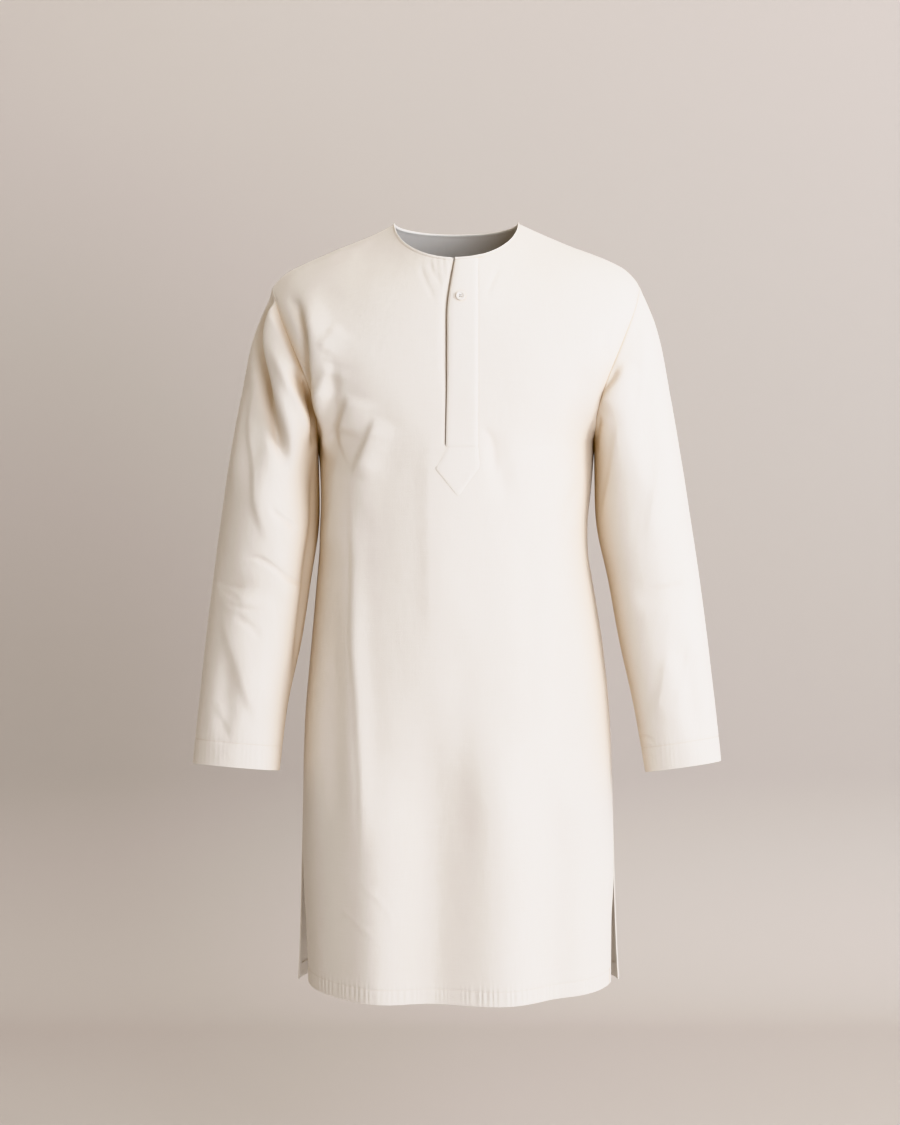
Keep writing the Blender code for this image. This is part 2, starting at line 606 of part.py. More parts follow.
def row_angles(panel, row, side):
    """The angles of a panel's points along one row, from its centre to one edge."""
    turn = math.radians(panel.turns[row])
    if not panel.front:
        return np.linspace(0, turn, BACK_COLUMNS + 1)
    z, middle = panel.centre_z[row], panel.centre_x[row]
    closed = row >= slit_row(panel)
    gap = 0 if closed else float(by_height(OPENING, "gap_right" if side < 0 else "gap_left", z))
    if side < 0:
        waves = GATHER_STEP * (np.arange(1, GATHER_COUNT + 1) + 0.5)
        near = middle - np.concatenate([[gap], waves])
        count = RIGHT_COLUMNS
    else:
        near = middle + np.concatenate([[gap], np.array(STRIP_COLUMNS[2:]) * (STRIP_EDGE_X - middle)])
        count = LEFT_COLUMNS
    angles = panel.angle_of(row, side, near)
    return np.concatenate([angles, np.linspace(angles[-1], turn, count + 1)[1:]])


def body_panel(name, panel):
    rows = len(panel.centre_z)
    grids, points, faces = {}, [], []
    for side in (-1, 1):
        sheet = np.stack([panel.settled(row, side, row_angles(panel, row, side)) for row in range(rows)])
        index = len(points) + np.arange(sheet.shape[0] * sheet.shape[1]).reshape(sheet.shape[:2])
        points.extend(sheet.reshape(-1, 3))
        grids[side] = index
    first_closed = slit_row(panel) if panel.front else 0
    grids[1][first_closed:, 0] = grids[-1][first_closed:, 0]
    for side in (-1, 1):
        faces += grid_faces(grids[side], flip=(side > 0) != panel.front)
    used, packed = np.unique(np.array(faces), return_inverse=True)
    points = np.array(points)[used]
    rows_of = {}
    for side in (-1, 1):
        for row in range(rows):
            for number in grids[side][row]:
                rows_of[int(number)] = row
    hem = np.array([HEM_LIFT if rows_of[int(number)] >= rows - 2 else 0.0 for number in used])
    return Cloth(name, points, packed.reshape(-1, 4).tolist(), hem)


def sleeve_points(side, front, back):
    """Rows of points from the armhole to the wrist, and the angle of each column."""
    armhole = slice(SHOULDER_ROWS, SHOULDER_ROWS + ARMHOLE_ROWS + 1)
    ahead, behind = front.edges[side][armhole], back.edges[side][armhole]
    loop = np.concatenate([ahead, behind[-2:0:-1]])
    angles = np.linspace(0, 2 * math.pi, 2 * ARMHOLE_ROWS + 1)[:-1]
    columns = [sleeve_column(side, start, angle) for start, angle in zip(loop, angles)]
    return np.stack(columns, axis=1), np.degrees(angles)


def ring_point(side, ring, angle):
    middle, half = (ring.outer + ring.inner) / 2, (ring.outer - ring.inner) / 2
    x = side * (middle + half * math.cos(angle))
    z = ring.z + ring.drop / 2 * math.cos(angle) + ring.rise * math.sin(angle)
    return np.array([x, ring.y - ring.half_depth * math.sin(angle), z])


def sleeve_column(side, start, angle):
    rings = [ring_point(side, ring, angle) for ring in SLEEVE_RINGS[side]]
    away = (1 + math.cos(angle)) / 2
    leaving = np.array([side * SLEEVE_OUT * away, -SLEEVE_ROUND * math.sin(angle), -1 + SLEEVE_LEVEL * away])
    leaving *= SLEEVE_LEAVES * np.linalg.norm(rings[0] - start) / np.linalg.norm(leaving)
    joining = (rings[0] - start) / np.linalg.norm(rings[0] - start)
    joining = joining + (rings[1] - rings[0]) / np.linalg.norm(rings[1] - rings[0])
    joining *= SLEEVE_JOINS * np.linalg.norm(rings[0] - start) / np.linalg.norm(joining)
    head = [hermite(start, leaving, rings[0], joining, t) for t in SLEEVE_HEAD]
    dense = through(head + rings, SLEEVE_SAMPLES)
    lengths = np.linspace(0, 1, SLEEVE_SAMPLES + 1) * np.linalg.norm(np.diff(dense, axis=0), axis=1).sum()
    hem_top = lengths[-1] - CUFF_HEM
    wanted = np.linspace(0, hem_top - HEM_STEP, SLEEVE_ROWS + 1)
    wanted = np.concatenate([wanted, [hem_top, (hem_top + lengths[-1]) / 2, lengths[-1]]])
    return np.stack([np.interp(wanted, lengths, dense[:, axis]) for axis in range(3)], axis=1)


def sleeve(name, side, front, back):
    """A sleeve's upper and lower length, which meet at the elbow."""
    rows, angles = sleeve_points(side, front, back)
    index = np.arange(rows[..., 0].size).reshape(rows.shape[:2])
    index = np.concatenate([index, index[:, :1]], axis=1)
    plain = Cloth(name, rows.reshape(-1, 3), grid_faces(index, flip=side > 0))
    lift = lift_of(SLEEVE_FOLDS[side], angles[None, :], rows[..., 2], WRINKLE_HALF)
    lift *= eased(np.linalg.norm(rows - rows[:1], axis=-1) / SEAM_CALM)
    settled = (plain.points + plain.normals * lift.reshape(-1, 1)).reshape(rows.shape)
    hem = np.zeros(rows.shape[:2])
    hem[-3:] = HEM_LIFT
    lengths = []
    for length, kept in (("upper", slice(ELBOW_ROW + 1)), ("lower", slice(ELBOW_ROW, None))):
        points = settled[kept]
        faces = grid_faces(index[: len(points)], flip=side > 0)
        lengths.append(Cloth(f"{name}_{length}", points.reshape(-1, 3), faces, hem[kept].ravel()))
    return lengths


def raised(panel, columns, rows_z, out):
    """Points of the front, moved out from it: one row for each height, at its own places across."""
    points = []
    for z, places in zip(rows_z, columns):
        row = panel.row_at(z)
        line = []
        for x in places:
            side = -1 if x < panel.of_row(panel.centre_x, row) else 1
            here, outward = panel.facing(row, side, float(panel.angle_of(row, side, x)))
            line.append(here + outward * out)
        points.append(line)
    return np.array(points)


def strip_cloth(name, panel, columns, rows_z, out):
    points = raised(panel, columns, rows_z, out)
    index = np.arange(points.shape[0] * points.shape[1]).reshape(points.shape[:2])
    return Cloth(name, points.reshape(-1, 3), grid_faces(index, flip=False))


def placket_overlap(panel):
    """The upper strip: as wide as the placket, with a pointed end sewn down below the opening."""
    heights = [float(z) for z in panel.centre_z[: slit_row(panel) + 1]]
    sides = [(float(by_height(OPENING, "x", z)), STRIP_EDGE_X) for z in heights]
    start = sides[-1][0]
    widest = (start - POINT_SPREAD, STRIP_EDGE_X + POINT_FLARE)
    tip_x, tip_z = POINT_TIP
    for t in POINT_SIDE_STEPS:
        heights.append(PLACKET_END_Z + (POINT_SHOULDER_Z - PLACKET_END_Z) * t)
        sides.append((start - POINT_SPREAD * t, STRIP_EDGE_X + POINT_FLARE * t))
    for t in POINT_TIP_STEPS:
        heights.append(POINT_SHOULDER_Z + (tip_z - POINT_SHOULDER_Z) * t)
        sides.append(tuple(edge * (1 - t) + tip_x * t for edge in widest))
    columns = [[low + share * (high - low) for share in STRIP_COLUMNS] for low, high in sides]
    return strip_cloth("placket_overlap", panel, columns, heights, CLOTH + LAID_GAP)


def placket_underlap(panel):
    """The strip behind the opening, sewn to the wearer's right of it."""
    heights = [float(z) for z in panel.centre_z[: slit_row(panel) + 1]] + [UNDERLAP_END_Z]
    columns = []
    for z in heights:
        middle = float(by_height(OPENING, "x", z))
        columns.append(np.linspace(middle - UNDERLAP_IN, middle + UNDERLAP_OUT, UNDERLAP_COLUMNS + 1))
    return strip_cloth("placket_underlap", panel, columns, heights, -(CLOTH + LAID_GAP))


def neckline(front, back):
    """Points along the neckline, from the overlap's free edge round the back to the opening's other side."""
    left = front.point(0, 1, np.concatenate([[0.0], row_angles(front, 0, 1)]))
    right = front.point(0, -1, row_angles(front, 0, -1))
    behind = back.point(0, 1, row_angles(back, 0, 1)), back.point(0, -1, row_angles(back, 0, -1))
    return np.concatenate([left, behind[0][-2::-1], behind[1][1:], right[-2::-1]])


def normals_along(path, pieces):
    """The cloth's own direction at each place of a path, evened out along it."""
    points = np.concatenate([piece.points for piece in pieces])
    normals = np.concatenate([piece.normals for piece in pieces])
    found = np.array([normals[np.argmin(np.linalg.norm(points - place, axis=1))] for place in path])
    for _ in range(4):
        found[1:-1] = 0.25 * found[:-2] + 0.5 * found[1:-1] + 0.25 * found[2:]
    return found / np.linalg.norm(found, axis=1, keepdims=True)


def squared_to(directions, tangent):
    """Directions made square to a path, of length 1."""
    directions = directions - tangent * (directions * tangent).sum(axis=1, keepdims=True)
    return directions / np.linalg.norm(directions, axis=1, keepdims=True)


def neck_binding(front, back, pieces, material):
    """A narrow bound edge: it leaves the panels in their own direction and then stands up round the neck."""
    path = neckline(front, back)
    tangent = np.gradient(path, axis=0)
    tangent /= np.linalg.norm(tangent, axis=1, keepdims=True)
    foot = squared_to(normals_along(path, pieces), tangent)
    lean = path * (1, 1, 0)
    head = squared_to(lean / np.linalg.norm(lean, axis=1, keepdims=True) + (0, 0, BINDING_LEAN), tangent)
    rises = [np.cross(tangent, facing) for facing in (foot, head)]
    rises = [rise * np.where(rise[:, 2:] < 0, -1, 1) for rise in rises]
    on_front = path[:, 1] < 0
    on_left = path[:, 0] > front.centre_x[0] - SEAM_GAP
    strip = on_front & on_left & (path[:, 0] < STRIP_EDGE_X + BINDING_WIDTH)
    outer = np.where(strip, 1.5 * CLOTH + LAID_GAP + SEAM_GAP, BINDING_HALF)
    points = []
    for place, here in enumerate(path):
        start = here + rises[0][place] * BINDING_FOOT
        for corner in BINDING_SECTION:
            facing = foot[place] * (1 - corner.up) + head[place] * corner.up
            rise = rises[0][place] * (1 - corner.up) + rises[1][place] * corner.up
            reach = outer[place] if corner.out > 0 else BINDING_HALF
            points.append(start + rise * corner.up * BINDING_WIDTH + facing * reach * corner.out)
    count, corners = len(path), len(BINDING_SECTION)
    faces = []
    for place in range(count - 1):
        for corner in range(corners):
            after = (corner + 1) % corners
            low = place * corners
            faces.append((low + corner, low + corners + corner, low + corners + after, low + after))
    faces.append(tuple(range(corners)))
    faces.append(tuple((count - 1) * corners + corner for corner in reversed(range(corners))))
    return add_mesh("neck_binding", np.array(points), faces, material)


# ---------------------------------------------------------------- the button
def turned_blank(name):
    """A solid of revolution from the button's profile, about its own Z axis."""
    mesh = bpy.data.meshes.new(name)
    outline = [(row.reach * BUTTON_RADIUS, 0, row.rise * BUTTON_HEIGHT) for row in BUTTON_PROFILE]
    mesh.from_pydata(outline, [(number, number + 1) for number in range(len(outline) - 1)], [])
    blank = bpy.data.objects.new(name, mesh)
    bpy.data.collections["kurta_tunic"].objects.link(blank)
    screw = blank.modifiers.new("turned", "SCREW")
    screw.steps = screw.render_steps = BUTTON_SIDES
    screw.use_merge_vertices = True
    screw.merge_threshold = BUTTON_MERGE
    return blank


def pierce(blank, number):
    """Cuts one of the four thread holes."""
    turn = math.pi / 4 + number * math.pi / 2
    spot = (BUTTON_HOLE_SPREAD * math.cos(turn), BUTTON_HOLE_SPREAD * math.sin(turn), BUTTON_HEIGHT / 2)
    bpy.ops.mesh.primitive_cylinder_add(
        vertices=BUTTON_HOLE_SIDES, radius=BUTTON_HOLE, depth=3 * BUTTON_HEIGHT, location=spot
    )
    cutter = bpy.context.active_object
    cutter.name = f"button_hole_{number + 1}"
    cutter.hide_render = True
    cutter.display_type = "WIRE"
    for collection in cutter.users_collection:
        collection.objects.unlink(cutter)
    bpy.data.collections["cutters"].objects.link(cutter)
    cutter.parent = blank
    cut = blank.modifiers.new(cutter.name, "BOOLEAN")
    cut.object = cutter
    cut.operation = "DIFFERENCE"


def button(front, material):
    """A turned button with a raised rim and four holes, lying on the overlap strip."""
    row = front.row_at(BUTTON_Z)
    here, outward = front.facing(row, 1, float(front.angle_of(row, 1, BUTTON_X)))
    blank = turned_blank("button")
    for number in range(4):
        pierce(blank, number)
    strip_face = 1.5 * CLOTH + LAID_GAP
    blank.location = here + outward * (strip_face + BUTTON_GAP)
    blank.rotation_euler = Vector(outward).to_track_quat("Z", "Y").to_euler()
    blank.data.materials.append(material)
    return blank


# ---------------------------------------------------------------- scene
def add_mesh(name, points, faces, material):
    mesh = bpy.data.meshes.new(name)
    mesh.from_pydata([tuple(point) for point in points], [], faces)
    mesh.materials.append(material)
    mesh.shade_smooth()
    mesh.set_sharp_from_angle(angle=math.radians(SHARP_ANGLE))
    piece = bpy.data.objects.new(name, mesh)
    bpy.data.collections["kurta_tunic"].objects.link(piece)
    return piece


def make_material(name, colour, roughness):
    material = bpy.data.materials.new(name)
    material.use_nodes = True
    shader = material.node_tree.nodes["Principled BSDF"]
    shader.inputs["Base Color"].default_value = colour
    shader.inputs["Roughness"].default_value = roughness
    shader.inputs["Metallic"].default_value = 0.0
    return material


def clear_scene():
    for thing in list(bpy.data.objects):
        bpy.data.objects.remove(thing, do_unlink=True)
    for name in ("kurta_tunic", "cutters"):
        bpy.context.scene.collection.children.link(bpy.data.collections.new(name))


def main():
    clear_scene()
    front, back = Panel(front=True), Panel(front=False)
    pieces = [
        body_panel("front_panel", front),
        body_panel("back_panel", back),
        *sleeve("sleeve_right", -1, front, back),
        *sleeve("sleeve_left", 1, front, back),
        placket_overlap(front),
        placket_underlap(front),
    ]
    share_seam_normals(pieces[:-2])
    objects = [piece.build(make_material(piece.name, CREAM, CLOTH_ROUGHNESS)) for piece in pieces]
    trim = make_material("neck_binding", CREAM_TRIM, CLOTH_ROUGHNESS)
    objects.append(neck_binding(front, back, pieces[:2], trim))
    objects.append(button(front, make_material("button", SHELL, SHELL_ROUGHNESS)))
    held = bpy.data.objects.new("wearer_shoulders", None)
    bpy.data.collections["kurta_tunic"].objects.link(held)
    for piece in objects:
        piece.parent = held


main()
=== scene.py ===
"""Kurta tunic: fine cloth, stitching and button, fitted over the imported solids.

Metres, +Z up. The front faces -Y and the wearer's left is +X. The origin lies midway between the two side
neck points. Every cloth piece is a thin sheet on the same surface as its solid: the tables give the surface
and its main folds, and finer creases, seams, turned hems and stitches are laid on top of that.
"""

from __future__ import annotations

import logging
import math
from dataclasses import dataclass, field, replace
from enum import Enum
from typing import Sequence

import bpy
import numpy as np
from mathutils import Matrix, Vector

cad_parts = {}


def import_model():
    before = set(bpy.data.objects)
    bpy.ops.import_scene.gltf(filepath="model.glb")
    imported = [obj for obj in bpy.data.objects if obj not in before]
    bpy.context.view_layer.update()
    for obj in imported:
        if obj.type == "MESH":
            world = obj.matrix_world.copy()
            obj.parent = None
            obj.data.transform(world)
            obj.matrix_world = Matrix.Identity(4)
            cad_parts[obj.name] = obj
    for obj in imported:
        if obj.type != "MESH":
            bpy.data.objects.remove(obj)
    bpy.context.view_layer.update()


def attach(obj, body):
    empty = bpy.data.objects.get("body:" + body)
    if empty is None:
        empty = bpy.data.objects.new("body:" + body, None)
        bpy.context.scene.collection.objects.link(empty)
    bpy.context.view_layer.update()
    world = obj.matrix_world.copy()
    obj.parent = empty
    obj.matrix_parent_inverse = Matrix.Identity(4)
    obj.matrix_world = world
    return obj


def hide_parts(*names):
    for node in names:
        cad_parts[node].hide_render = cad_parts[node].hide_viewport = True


LOG = logging.getLogger("kurta_tunic")
ROOT = "root"

Piece = bpy.types.Object
Material = bpy.types.Material
Tree = bpy.types.NodeTree
Socket = bpy.types.NodeSocket
Place = tuple[float, float]
Triple = tuple[float, float, float]
Line = tuple[np.ndarray, np.ndarray]  # points, and the directions that the cloth faces there


class Side(Enum):
    """A side of the wearer, as the sign of its X."""

    RIGHT = -1
    LEFT = 1

    @property
    def word(self) -> str:
        """The side's name, as tables and pieces use it."""
        return self.name.lower()


class FoldEnds(Enum):
    """Which ends of a fold fade out."""

    BOTH = "both"
    TOP = "top"


class FoldShape(Enum):
    """The section of a fold."""

    SOFT = "soft"
    CREASE = "crease"
    LAP = "lap"


# ---------------------------------------------------------------- rows of the tables
@dataclass(frozen=True)
class CentreRow:
    """A panel's centre line: height, depth, and how square the section is."""

    z: float
    y: float
    square: float


@dataclass(frozen=True)
class OpeningRow:
    """The front opening's middle and its two half gaps at a height."""

    z: float
    x: float
    gap_right: float
    gap_left: float


@dataclass(frozen=True)
class SeamRow:
    """A point of the shoulder seam."""

    x: float
    y: float
    z: float


@dataclass(frozen=True)
class ArmholeRow:
    """A point of the armhole, and how far the panel has rounded there, in degrees."""

    x: float
    y: float
    z: float
    turn: float


@dataclass(frozen=True)
class FlankRow:
    """Half widths of the body on each side at a height."""

    z: float
    right: float
    left: float


@dataclass(frozen=True)
class RingRow:
    """A ring of a sleeve: drop lowers its inner side and rise lifts its front."""

    z: float
    outer: float
    inner: float
    y: float
    half_depth: float
    drop: float
    rise: float


@dataclass(frozen=True)
class Fold:
    """A fold from (x0, z0) to (x1, z1). Lift is outwards.

    On a sleeve x is an angle in degrees, 0 outside and 90 in front.
    """

    x0: float
    z0: float
    x1: float
    z1: float
    half_width: float
    lift: float
    ends: FoldEnds = FoldEnds.BOTH


@dataclass(frozen=True)
class Crease:
    """A crease along a path of (x, z) places. Lift is outwards.

    On a sleeve x is an angle in degrees, 0 outside and 90 in front.
    """

    path: tuple[Place, ...]
    half_width: float
    lift: float
    shape: FoldShape = FoldShape.SOFT
    ends: FoldEnds = FoldEnds.BOTH


def rows_of(kind: type, *rows: tuple) -> tuple:
    """Make one row of a table from each tuple of its values."""
    return tuple(kind(*row) for row in rows)


def soft(half_width: float, lift: float, *path: Place) -> Crease:
    """Describe a crease with an even section."""
    return Crease(path, half_width, lift)


def lapped(half_width: float, lift: float, *path: Place, ends: FoldEnds = FoldEnds.BOTH) -> Crease:
    """Describe a crease that falls steeply on one side and gently on the other."""
    return Crease(path, half_width, lift, FoldShape.LAP, ends)


def sharp(half_width: float, lift: float, *path: Place) -> Crease:
    """Describe a crease with a thin ridge."""
    return Crease(path, half_width, lift, FoldShape.CREASE)


FRONT_LINE = rows_of(
    CentreRow,
    (-0.0365, -0.074, 1.0), (-0.06, -0.088, 1.0), (-0.085, -0.0985, 0.98), (-0.13, -0.111, 0.95),
    (-0.18, -0.119, 0.92), (-0.24, -0.1215, 0.88), (-0.3, -0.12, 0.8), (-0.385, -0.117, 0.72),
    (-0.5, -0.1165, 0.68), (-0.6135, -0.117, 0.66), (-0.75, -0.116, 0.66), (-0.85, -0.115, 0.68),
    (-0.943, -0.114, 0.7),
)
BACK_LINE = rows_of(
    CentreRow,
    (-0.018, 0.074, 1.0), (-0.045, 0.093, 1.0), (-0.09, 0.112, 0.96), (-0.15, 0.124, 0.92),
    (-0.21, 0.1275, 0.88), (-0.27, 0.124, 0.84), (-0.385, 0.109, 0.76), (-0.45, 0.1075, 0.74),
    (-0.53, 0.115, 0.72), (-0.6135, 0.122, 0.7), (-0.75, 0.123, 0.7), (-0.943, 0.12, 0.72),
)
OPENING = rows_of(
    OpeningRow,
    (-0.0365, -0.002, 0.0022, 0.0016), (-0.06, -0.0062, 0.003, 0.0018), (-0.083, -0.0098, 0.0029, 0.002),
    (-0.13, -0.011, 0.0026, 0.002), (-0.18, -0.0113, 0.0021, 0.0018), (-0.2545, -0.0128, 0.0012, 0.0012),
    (-0.943, -0.0128, 0.0012, 0.0012),
)
SHOULDER = {
    Side.RIGHT: rows_of(
        SeamRow,
        (0.0772, 0.006, 0.0), (0.105, 0.0055, -0.014), (0.142, 0.0045, -0.0285), (0.1784, 0.003, -0.0445),
        (0.203, 0.0015, -0.0555), (0.2232, 0.0, -0.075),
    ),
    Side.LEFT: rows_of(
        SeamRow,
        (0.0766, 0.006, 0.001), (0.106, 0.0055, -0.0125), (0.143, 0.0045, -0.028), (0.18, 0.003, -0.0415),
        (0.2035, 0.0015, -0.053), (0.221, 0.0, -0.0725),
    ),
}
FRONT_ARMHOLE = rows_of(
    ArmholeRow,
    (0.2185, -0.02, -0.09, 85), (0.21, -0.0385, -0.112, 76), (0.199, -0.0515, -0.139, 68),
    (0.1885, -0.058, -0.164, 63), (0.1785, -0.059, -0.19, 62), (0.171, -0.052, -0.218, 65),
    (0.169, -0.0315, -0.245, 76),
)
BACK_ARMHOLE = rows_of(
    ArmholeRow,
    (0.219, 0.02, -0.09, 88), (0.214, 0.039, -0.112, 85), (0.207, 0.052, -0.139, 80),
    (0.1985, 0.0585, -0.168, 76), (0.189, 0.0585, -0.198, 75), (0.1795, 0.0495, -0.227, 76),
    (0.172, 0.029, -0.25, 81),
)
FLANK = rows_of(
    FlankRow,
    (-0.262, 0.17, 0.169), (-0.3, 0.166, 0.166), (-0.34, 0.1648, 0.1625), (-0.385, 0.1662, 0.1592),
    (-0.435, 0.1705, 0.1664), (-0.51, 0.1776, 0.179), (-0.6135, 0.1868, 0.1896), (-0.7, 0.1895, 0.193),
    (-0.8, 0.1908, 0.195), (-0.943, 0.189, 0.1945),
)
SLEEVE_RINGS = {
    Side.RIGHT: rows_of(
        RingRow,
        (-0.3, 0.279, 0.169, -0.008, 0.067, 0.004, 0.0), (-0.36, 0.2872, 0.169, -0.013, 0.064, 0.005, 0.001),
        (-0.43, 0.2967, 0.1793, -0.016, 0.058, 0.006, 0.003),
        (-0.5, 0.3058, 0.1903, -0.022, 0.052, 0.007, 0.005),
        (-0.58, 0.3147, 0.2077, -0.03, 0.045, 0.008, 0.006),
        (-0.6605, 0.3235, 0.218, -0.038, 0.037, 0.009, 0.006),
    ),
    Side.LEFT: rows_of(
        RingRow,
        (-0.3, 0.277, 0.1695, -0.008, 0.067, 0.004, 0.0), (-0.36, 0.286, 0.1718, -0.013, 0.064, 0.005, 0.001),
        (-0.43, 0.2967, 0.1868, -0.016, 0.059, 0.007, 0.003),
        (-0.5, 0.3065, 0.2, -0.022, 0.054, 0.009, 0.005), (-0.58, 0.3157, 0.2182, -0.03, 0.048, 0.012, 0.006),
        (-0.66, 0.3245, 0.2328, -0.038, 0.0425, 0.014, 0.007),
    ),
}

FRONT_FOLDS = rows_of(
    Fold,
    (-0.128, -0.34, -0.12, -0.8, 0.017, 0.0045), (-0.152, -0.42, -0.15, -0.76, 0.017, -0.003),
    (-0.15, -0.15, -0.14, -0.3, 0.02, -0.005), (0.158, -0.15, 0.14, -0.27, 0.018, -0.0035),
    (-0.12, -0.19, -0.108, -0.36, 0.018, 0.003), (0.042, -0.225, 0.06, -0.33, 0.012, -0.0025),
    (-0.1, -0.62, -0.098, -0.943, 0.04, 0.011, FoldEnds.TOP),
    (-0.03, -0.52, -0.034, -0.943, 0.04, -0.0115, FoldEnds.TOP),
    (0.05, -0.56, 0.06, -0.943, 0.04, 0.012, FoldEnds.TOP),
    (0.12, -0.64, 0.124, -0.943, 0.028, -0.006, FoldEnds.TOP), (0.13, -0.42, 0.138, -0.7, 0.024, -0.004),
)
BACK_FOLDS = rows_of(
    Fold,
    (-0.07, -0.3, -0.085, -0.943, 0.03, 0.008, FoldEnds.TOP),
    (0.0, -0.24, 0.004, -0.943, 0.032, -0.009, FoldEnds.TOP),
    (0.078, -0.28, 0.08, -0.943, 0.03, 0.0085, FoldEnds.TOP), (-0.14, -0.16, -0.118, -0.3, 0.02, -0.0045),
    (0.142, -0.16, 0.12, -0.31, 0.02, -0.0045), (-0.135, -0.38, -0.14, -0.943, 0.022, -0.005, FoldEnds.TOP),
    (0.138, -0.42, 0.142, -0.943, 0.022, -0.005, FoldEnds.TOP),
)
SLEEVE_FOLDS = {
    Side.RIGHT: rows_of(
        Fold,
        (38, -0.13, 74, -0.33, 0.017, -0.006), (16, -0.19, 40, -0.33, 0.013, 0.003),
        (20, -0.425, 150, -0.455, 0.014, -0.0045), (30, -0.452, 160, -0.44, 0.014, 0.004),
        (60, -0.5, 76, -0.64, 0.015, -0.0045), (230, -0.43, 330, -0.44, 0.014, -0.004),
        (290, -0.18, 262, -0.34, 0.018, -0.006),
    ),
    Side.LEFT: rows_of(
        Fold,
        (52, -0.15, 76, -0.33, 0.018, -0.0045), (30, -0.437, 130, -0.45, 0.014, -0.0035),
        (70, -0.47, 62, -0.64, 0.017, -0.004), (230, -0.43, 330, -0.445, 0.014, -0.004),
        (288, -0.18, 264, -0.34, 0.018, -0.006),
    ),
}

# Finer creases, which only the cloth has: half width, lift and path.
FRONT_CREASES = (
    lapped(
        0.0058, 0.0085, (-0.198, -0.076), (-0.1835, -0.094), (-0.1762, -0.115), (-0.1728, -0.14),
        (-0.1708, -0.169), (-0.168, -0.191), (-0.165, -0.217), (-0.164, -0.25),
    ),
    soft(
        0.006, -0.0085, (-0.204, -0.078), (-0.1915, -0.097), (-0.1845, -0.117), (-0.1808, -0.142),
        (-0.1785, -0.172), (-0.1755, -0.206),
    ),
    lapped(0.0065, 0.0105, (-0.162, -0.176), (-0.159, -0.205), (-0.156, -0.24), (-0.1545, -0.285)),
    soft(0.0075, -0.0055, (-0.149, -0.15), (-0.1475, -0.19), (-0.1465, -0.235), (-0.148, -0.28)),
    lapped(0.0045, 0.0022, (-0.1408, -0.113), (-0.1512, -0.128), (-0.1629, -0.145)),
    lapped(0.0065, 0.004, (-0.1495, -0.158), (-0.156, -0.179), (-0.1619, -0.205)),
    lapped(0.0055, 0.0052, (-0.1254, -0.194), (-0.1301, -0.215), (-0.1383, -0.245)),
    lapped(0.0034, 0.002, (-0.1476, -0.226), (-0.1385, -0.249), (-0.1311, -0.268), (-0.1237, -0.284)),
    lapped(0.0055, 0.0055, (-0.0927, -0.22), (-0.1004, -0.243), (-0.1107, -0.274), (-0.1214, -0.297)),
    lapped(0.011, 0.005, (-0.134, -0.254), (-0.1429, -0.298), (-0.1474, -0.345), (-0.1594, -0.403)),
    lapped(
        0.0032, 0.0023, (-0.1237, -0.274), (-0.1233, -0.35), (-0.1232, -0.446), (-0.1234, -0.508),
        (-0.119, -0.565), (-0.1168, -0.614), (-0.113, -0.677), (-0.1121, -0.737), (-0.1162, -0.79),
    ),
    lapped(
        0.014, 0.0024, (-0.0248, -0.215), (-0.0296, -0.265), (-0.0308, -0.302), (-0.0308, -0.375),
        (-0.0296, -0.449), (-0.024, -0.52),
    ),
    sharp(
        0.0017, 0.0009, (-0.116, -0.791), (-0.0995, -0.805), (-0.0858, -0.819), (-0.0785, -0.838),
        (-0.0782, -0.85),
    ),
    sharp(0.0017, 0.0009, (-0.145, -0.825), (-0.1246, -0.837), (-0.1068, -0.851), (-0.092, -0.861)),
    soft(0.0045, -0.0017, (0.028, -0.23), (0.0395, -0.244), (0.045, -0.269), (0.0445, -0.293)),
    soft(0.0032, -0.001, (0.054, -0.041), (0.043, -0.061), (0.0335, -0.083)),
    soft(0.0026, -0.0012, (-0.0353, -0.038), (-0.0271, -0.052), (-0.0167, -0.066)),
    soft(0.0028, -0.001, (-0.045, -0.04), (-0.04, -0.055), (-0.0242, -0.086)),
    soft(0.005, -0.0011, (-0.007, -0.043), (-0.0125, -0.073), (-0.015, -0.119), (-0.015, -0.2)),
    soft(0.0055, -0.0014, (0.184, -0.116), (0.1795, -0.139), (0.1815, -0.161)),
    soft(0.0055, -0.0008, (-0.19, -0.055), (-0.142, -0.038), (-0.092, -0.026)),
    soft(0.018, -0.0016, (0.0, -0.47), (0.006, -0.62), (0.01, -0.8)),
    soft(0.016, -0.0014, (0.085, -0.33), (0.09, -0.48), (0.095, -0.64)),
    soft(0.007, -0.0012, (0.153, -0.3), (0.138, -0.33), (0.129, -0.372)),
)
